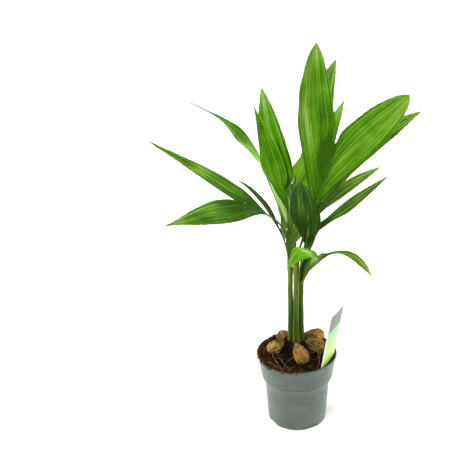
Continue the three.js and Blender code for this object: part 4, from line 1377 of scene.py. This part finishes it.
class BuildBlades(bpy.types.Operator):
    """Build the pleated leaf blades and the bases of two leaves"""

    bl_idname = "palm.build_blades"
    bl_label = "Leaf blades"

    def execute(self, context):
        look = context.scene.palm_leaves
        kinds = ("fresh", "bright", "light", "deep", "olive", "dark", "brown", "pale")
        tissue = {kind: leaf_tissue(f"leaf_{kind}", look, getattr(look, kind)) for kind in kinds}
        blades = [(leaf, blade) for leaf in LEAVES for blade in leaf.blades]
        for seed, (leaf, blade) in enumerate(blades, 91):
            name = f"{leaf.name}_{blade.name}"
            surface, numbers = blade_surface(look, leaf, blade, seed * 10)
            material = tissue[blade.tone or leaf.tone]
            make_piece(f"leaf_{name}", surface, material, "leaf_blade", [f"blade_{name}"], **numbers)
        for base in BASES:
            surface, numbers = base_surface(look, base)
            make_piece(f"base_{base['leaf']}", surface, tissue[base["tone"]], "leaf_blade", **numbers)
        return {"FINISHED"}


class BuildTag(bpy.types.Operator):
    """Build the blank care tag"""

    bl_idname = "palm.build_tag"
    bl_label = "Care tag"

    def execute(self, context):
        look = context.scene.palm_tag
        surface, laid = tag_surface(look)
        make_piece("tag_card", surface, printed_card(look), "care_tag", ["care_tag"], tag_place=laid)
        return {"FINISHED"}


class BuildStage(bpy.types.Operator):
    """Build the floor, the lights and the camera"""

    bl_idname = "palm.build_stage"
    bl_label = "Stage"

    def execute(self, context):
        look = context.scene.palm_stage
        scene = context.scene
        add_floor(look)
        # The high soft lamp stands in front, a little to the left, as even as daylight
        add_lamp(scene, "key", "SUN", (-0.55, -0.9, 2.2), angle=look.spread, energy=look.key)
        for name, place in (("left", (-1.2, 0.35, 0.55)), ("right", (1.2, 0.3, 0.55))):
            add_lamp(scene, name, "AREA", place, size=1.1, energy=look.fill)
        add_surround(scene, look)
        add_camera(scene)
        scene.view_settings.view_transform = "Standard"
        return {"FINISHED"}


def add_floor(look):
    """A square of paper, 12 m across, on which the pot stands."""
    mesh = bpy.data.meshes.new("floor")
    half = 6
    corners = [(-half, -half, 0), (half, -half, 0), (half, half, 0), (-half, half, 0)]
    mesh.from_pydata(corners, [], [(0, 1, 2, 3)])
    mesh.materials.append(paper_floor(look))
    floor = bpy.data.objects.new("floor", mesh)
    bpy.context.scene.collection.objects.link(floor)


def stand(scene, name, data, place, axes):
    """Stands a lamp or camera at a place in metres, by its right, upward and backward axes."""
    holder = bpy.data.objects.new(name, data)
    holder.matrix_world = Matrix.Translation(place) @ Matrix(np.transpose(axes).tolist()).to_4x4()
    scene.collection.objects.link(holder)
    return holder


def add_lamp(scene, name, kind, place, **settings):
    """Adds a lamp at a place, so that it looks at the middle of the plant."""
    plant_middle = np.array([0, 0, 0.3])
    lamp = bpy.data.lights.new(name, kind)
    for key, value in settings.items():
        setattr(lamp, key, value)
    back = unit(np.array(place) - plant_middle)
    side = unit(np.cross([0, 0, 1], back))
    stand(scene, name, lamp, place, [side, np.cross(back, side), back])


def add_surround(scene, look):
    """White studio walls, as an even pale surround."""
    world = bpy.data.worlds.new("studio")
    world.use_nodes = True
    connect(world.node_tree.nodes["Background"], {"Color": (1, 1, 1, 1), "Strength": look.sky})
    scene.world = world


def add_camera(scene):
    """The camera at the photograph's eye, pitched down, turned and rolled by its three angles."""
    pitch, yaw, roll = np.radians([PITCH, YAW, ROLL])
    ahead = np.array([np.sin(yaw) * np.cos(pitch), np.cos(yaw) * np.cos(pitch), -np.sin(pitch)])
    level = np.array([np.cos(yaw), -np.sin(yaw), 0])
    above = np.cross(level, ahead)
    right = np.cos(roll) * level + np.sin(roll) * above
    up = -np.sin(roll) * level + np.cos(roll) * above
    camera = bpy.data.cameras.new("photo")
    camera.sensor_width = SENSOR
    camera.lens = FOCAL_PIXELS / PICTURE_PIXELS * SENSOR
    camera.clip_end = 30
    scene.camera = stand(scene, "photo", camera, np.array(EYE) * MM, [right, up, -ahead])


OPERATORS = [BuildPot, BuildSoil, BuildNuts, BuildStems, BuildStalks, BuildBlades, BuildTag, BuildStage]


class PalmPanel(bpy.types.Panel):
    """The palm's looks and the buttons that build it"""

    bl_idname = "VIEW3D_PT_potted_palm"
    bl_label = "Potted betel nut palm"
    bl_space_type = "VIEW_3D"
    bl_region_type = "UI"
    bl_category = "Potted palm"

    def draw(self, context):
        for operator in OPERATORS:
            self.layout.operator(operator.bl_idname)
        for key, group in LOOKS.items():
            box = self.layout.box()
            box.label(text=group.__doc__)
            for field in group.__annotations__:
                box.prop(getattr(context.scene, key), field)


CLASSES = [*LOOKS.values(), *OPERATORS, PalmPanel]


def register():
    """Registers the classes and gives the scene its looks."""
    for cls in CLASSES:
        bpy.utils.register_class(cls)
    for key, group in LOOKS.items():
        setattr(bpy.types.Scene, key, PointerProperty(type=group))


def unregister():
    """Takes the looks and the classes away again."""
    for key in LOOKS:
        delattr(bpy.types.Scene, key)
    for cls in reversed(CLASSES):
        bpy.utils.unregister_class(cls)


def main():
    """Registers, and builds every piece and the stage."""
    register()
    for operator in OPERATORS:
        group, name = operator.bl_idname.split(".")
        getattr(getattr(bpy.ops, group), name)()


if __name__ == "__main__":
    main()
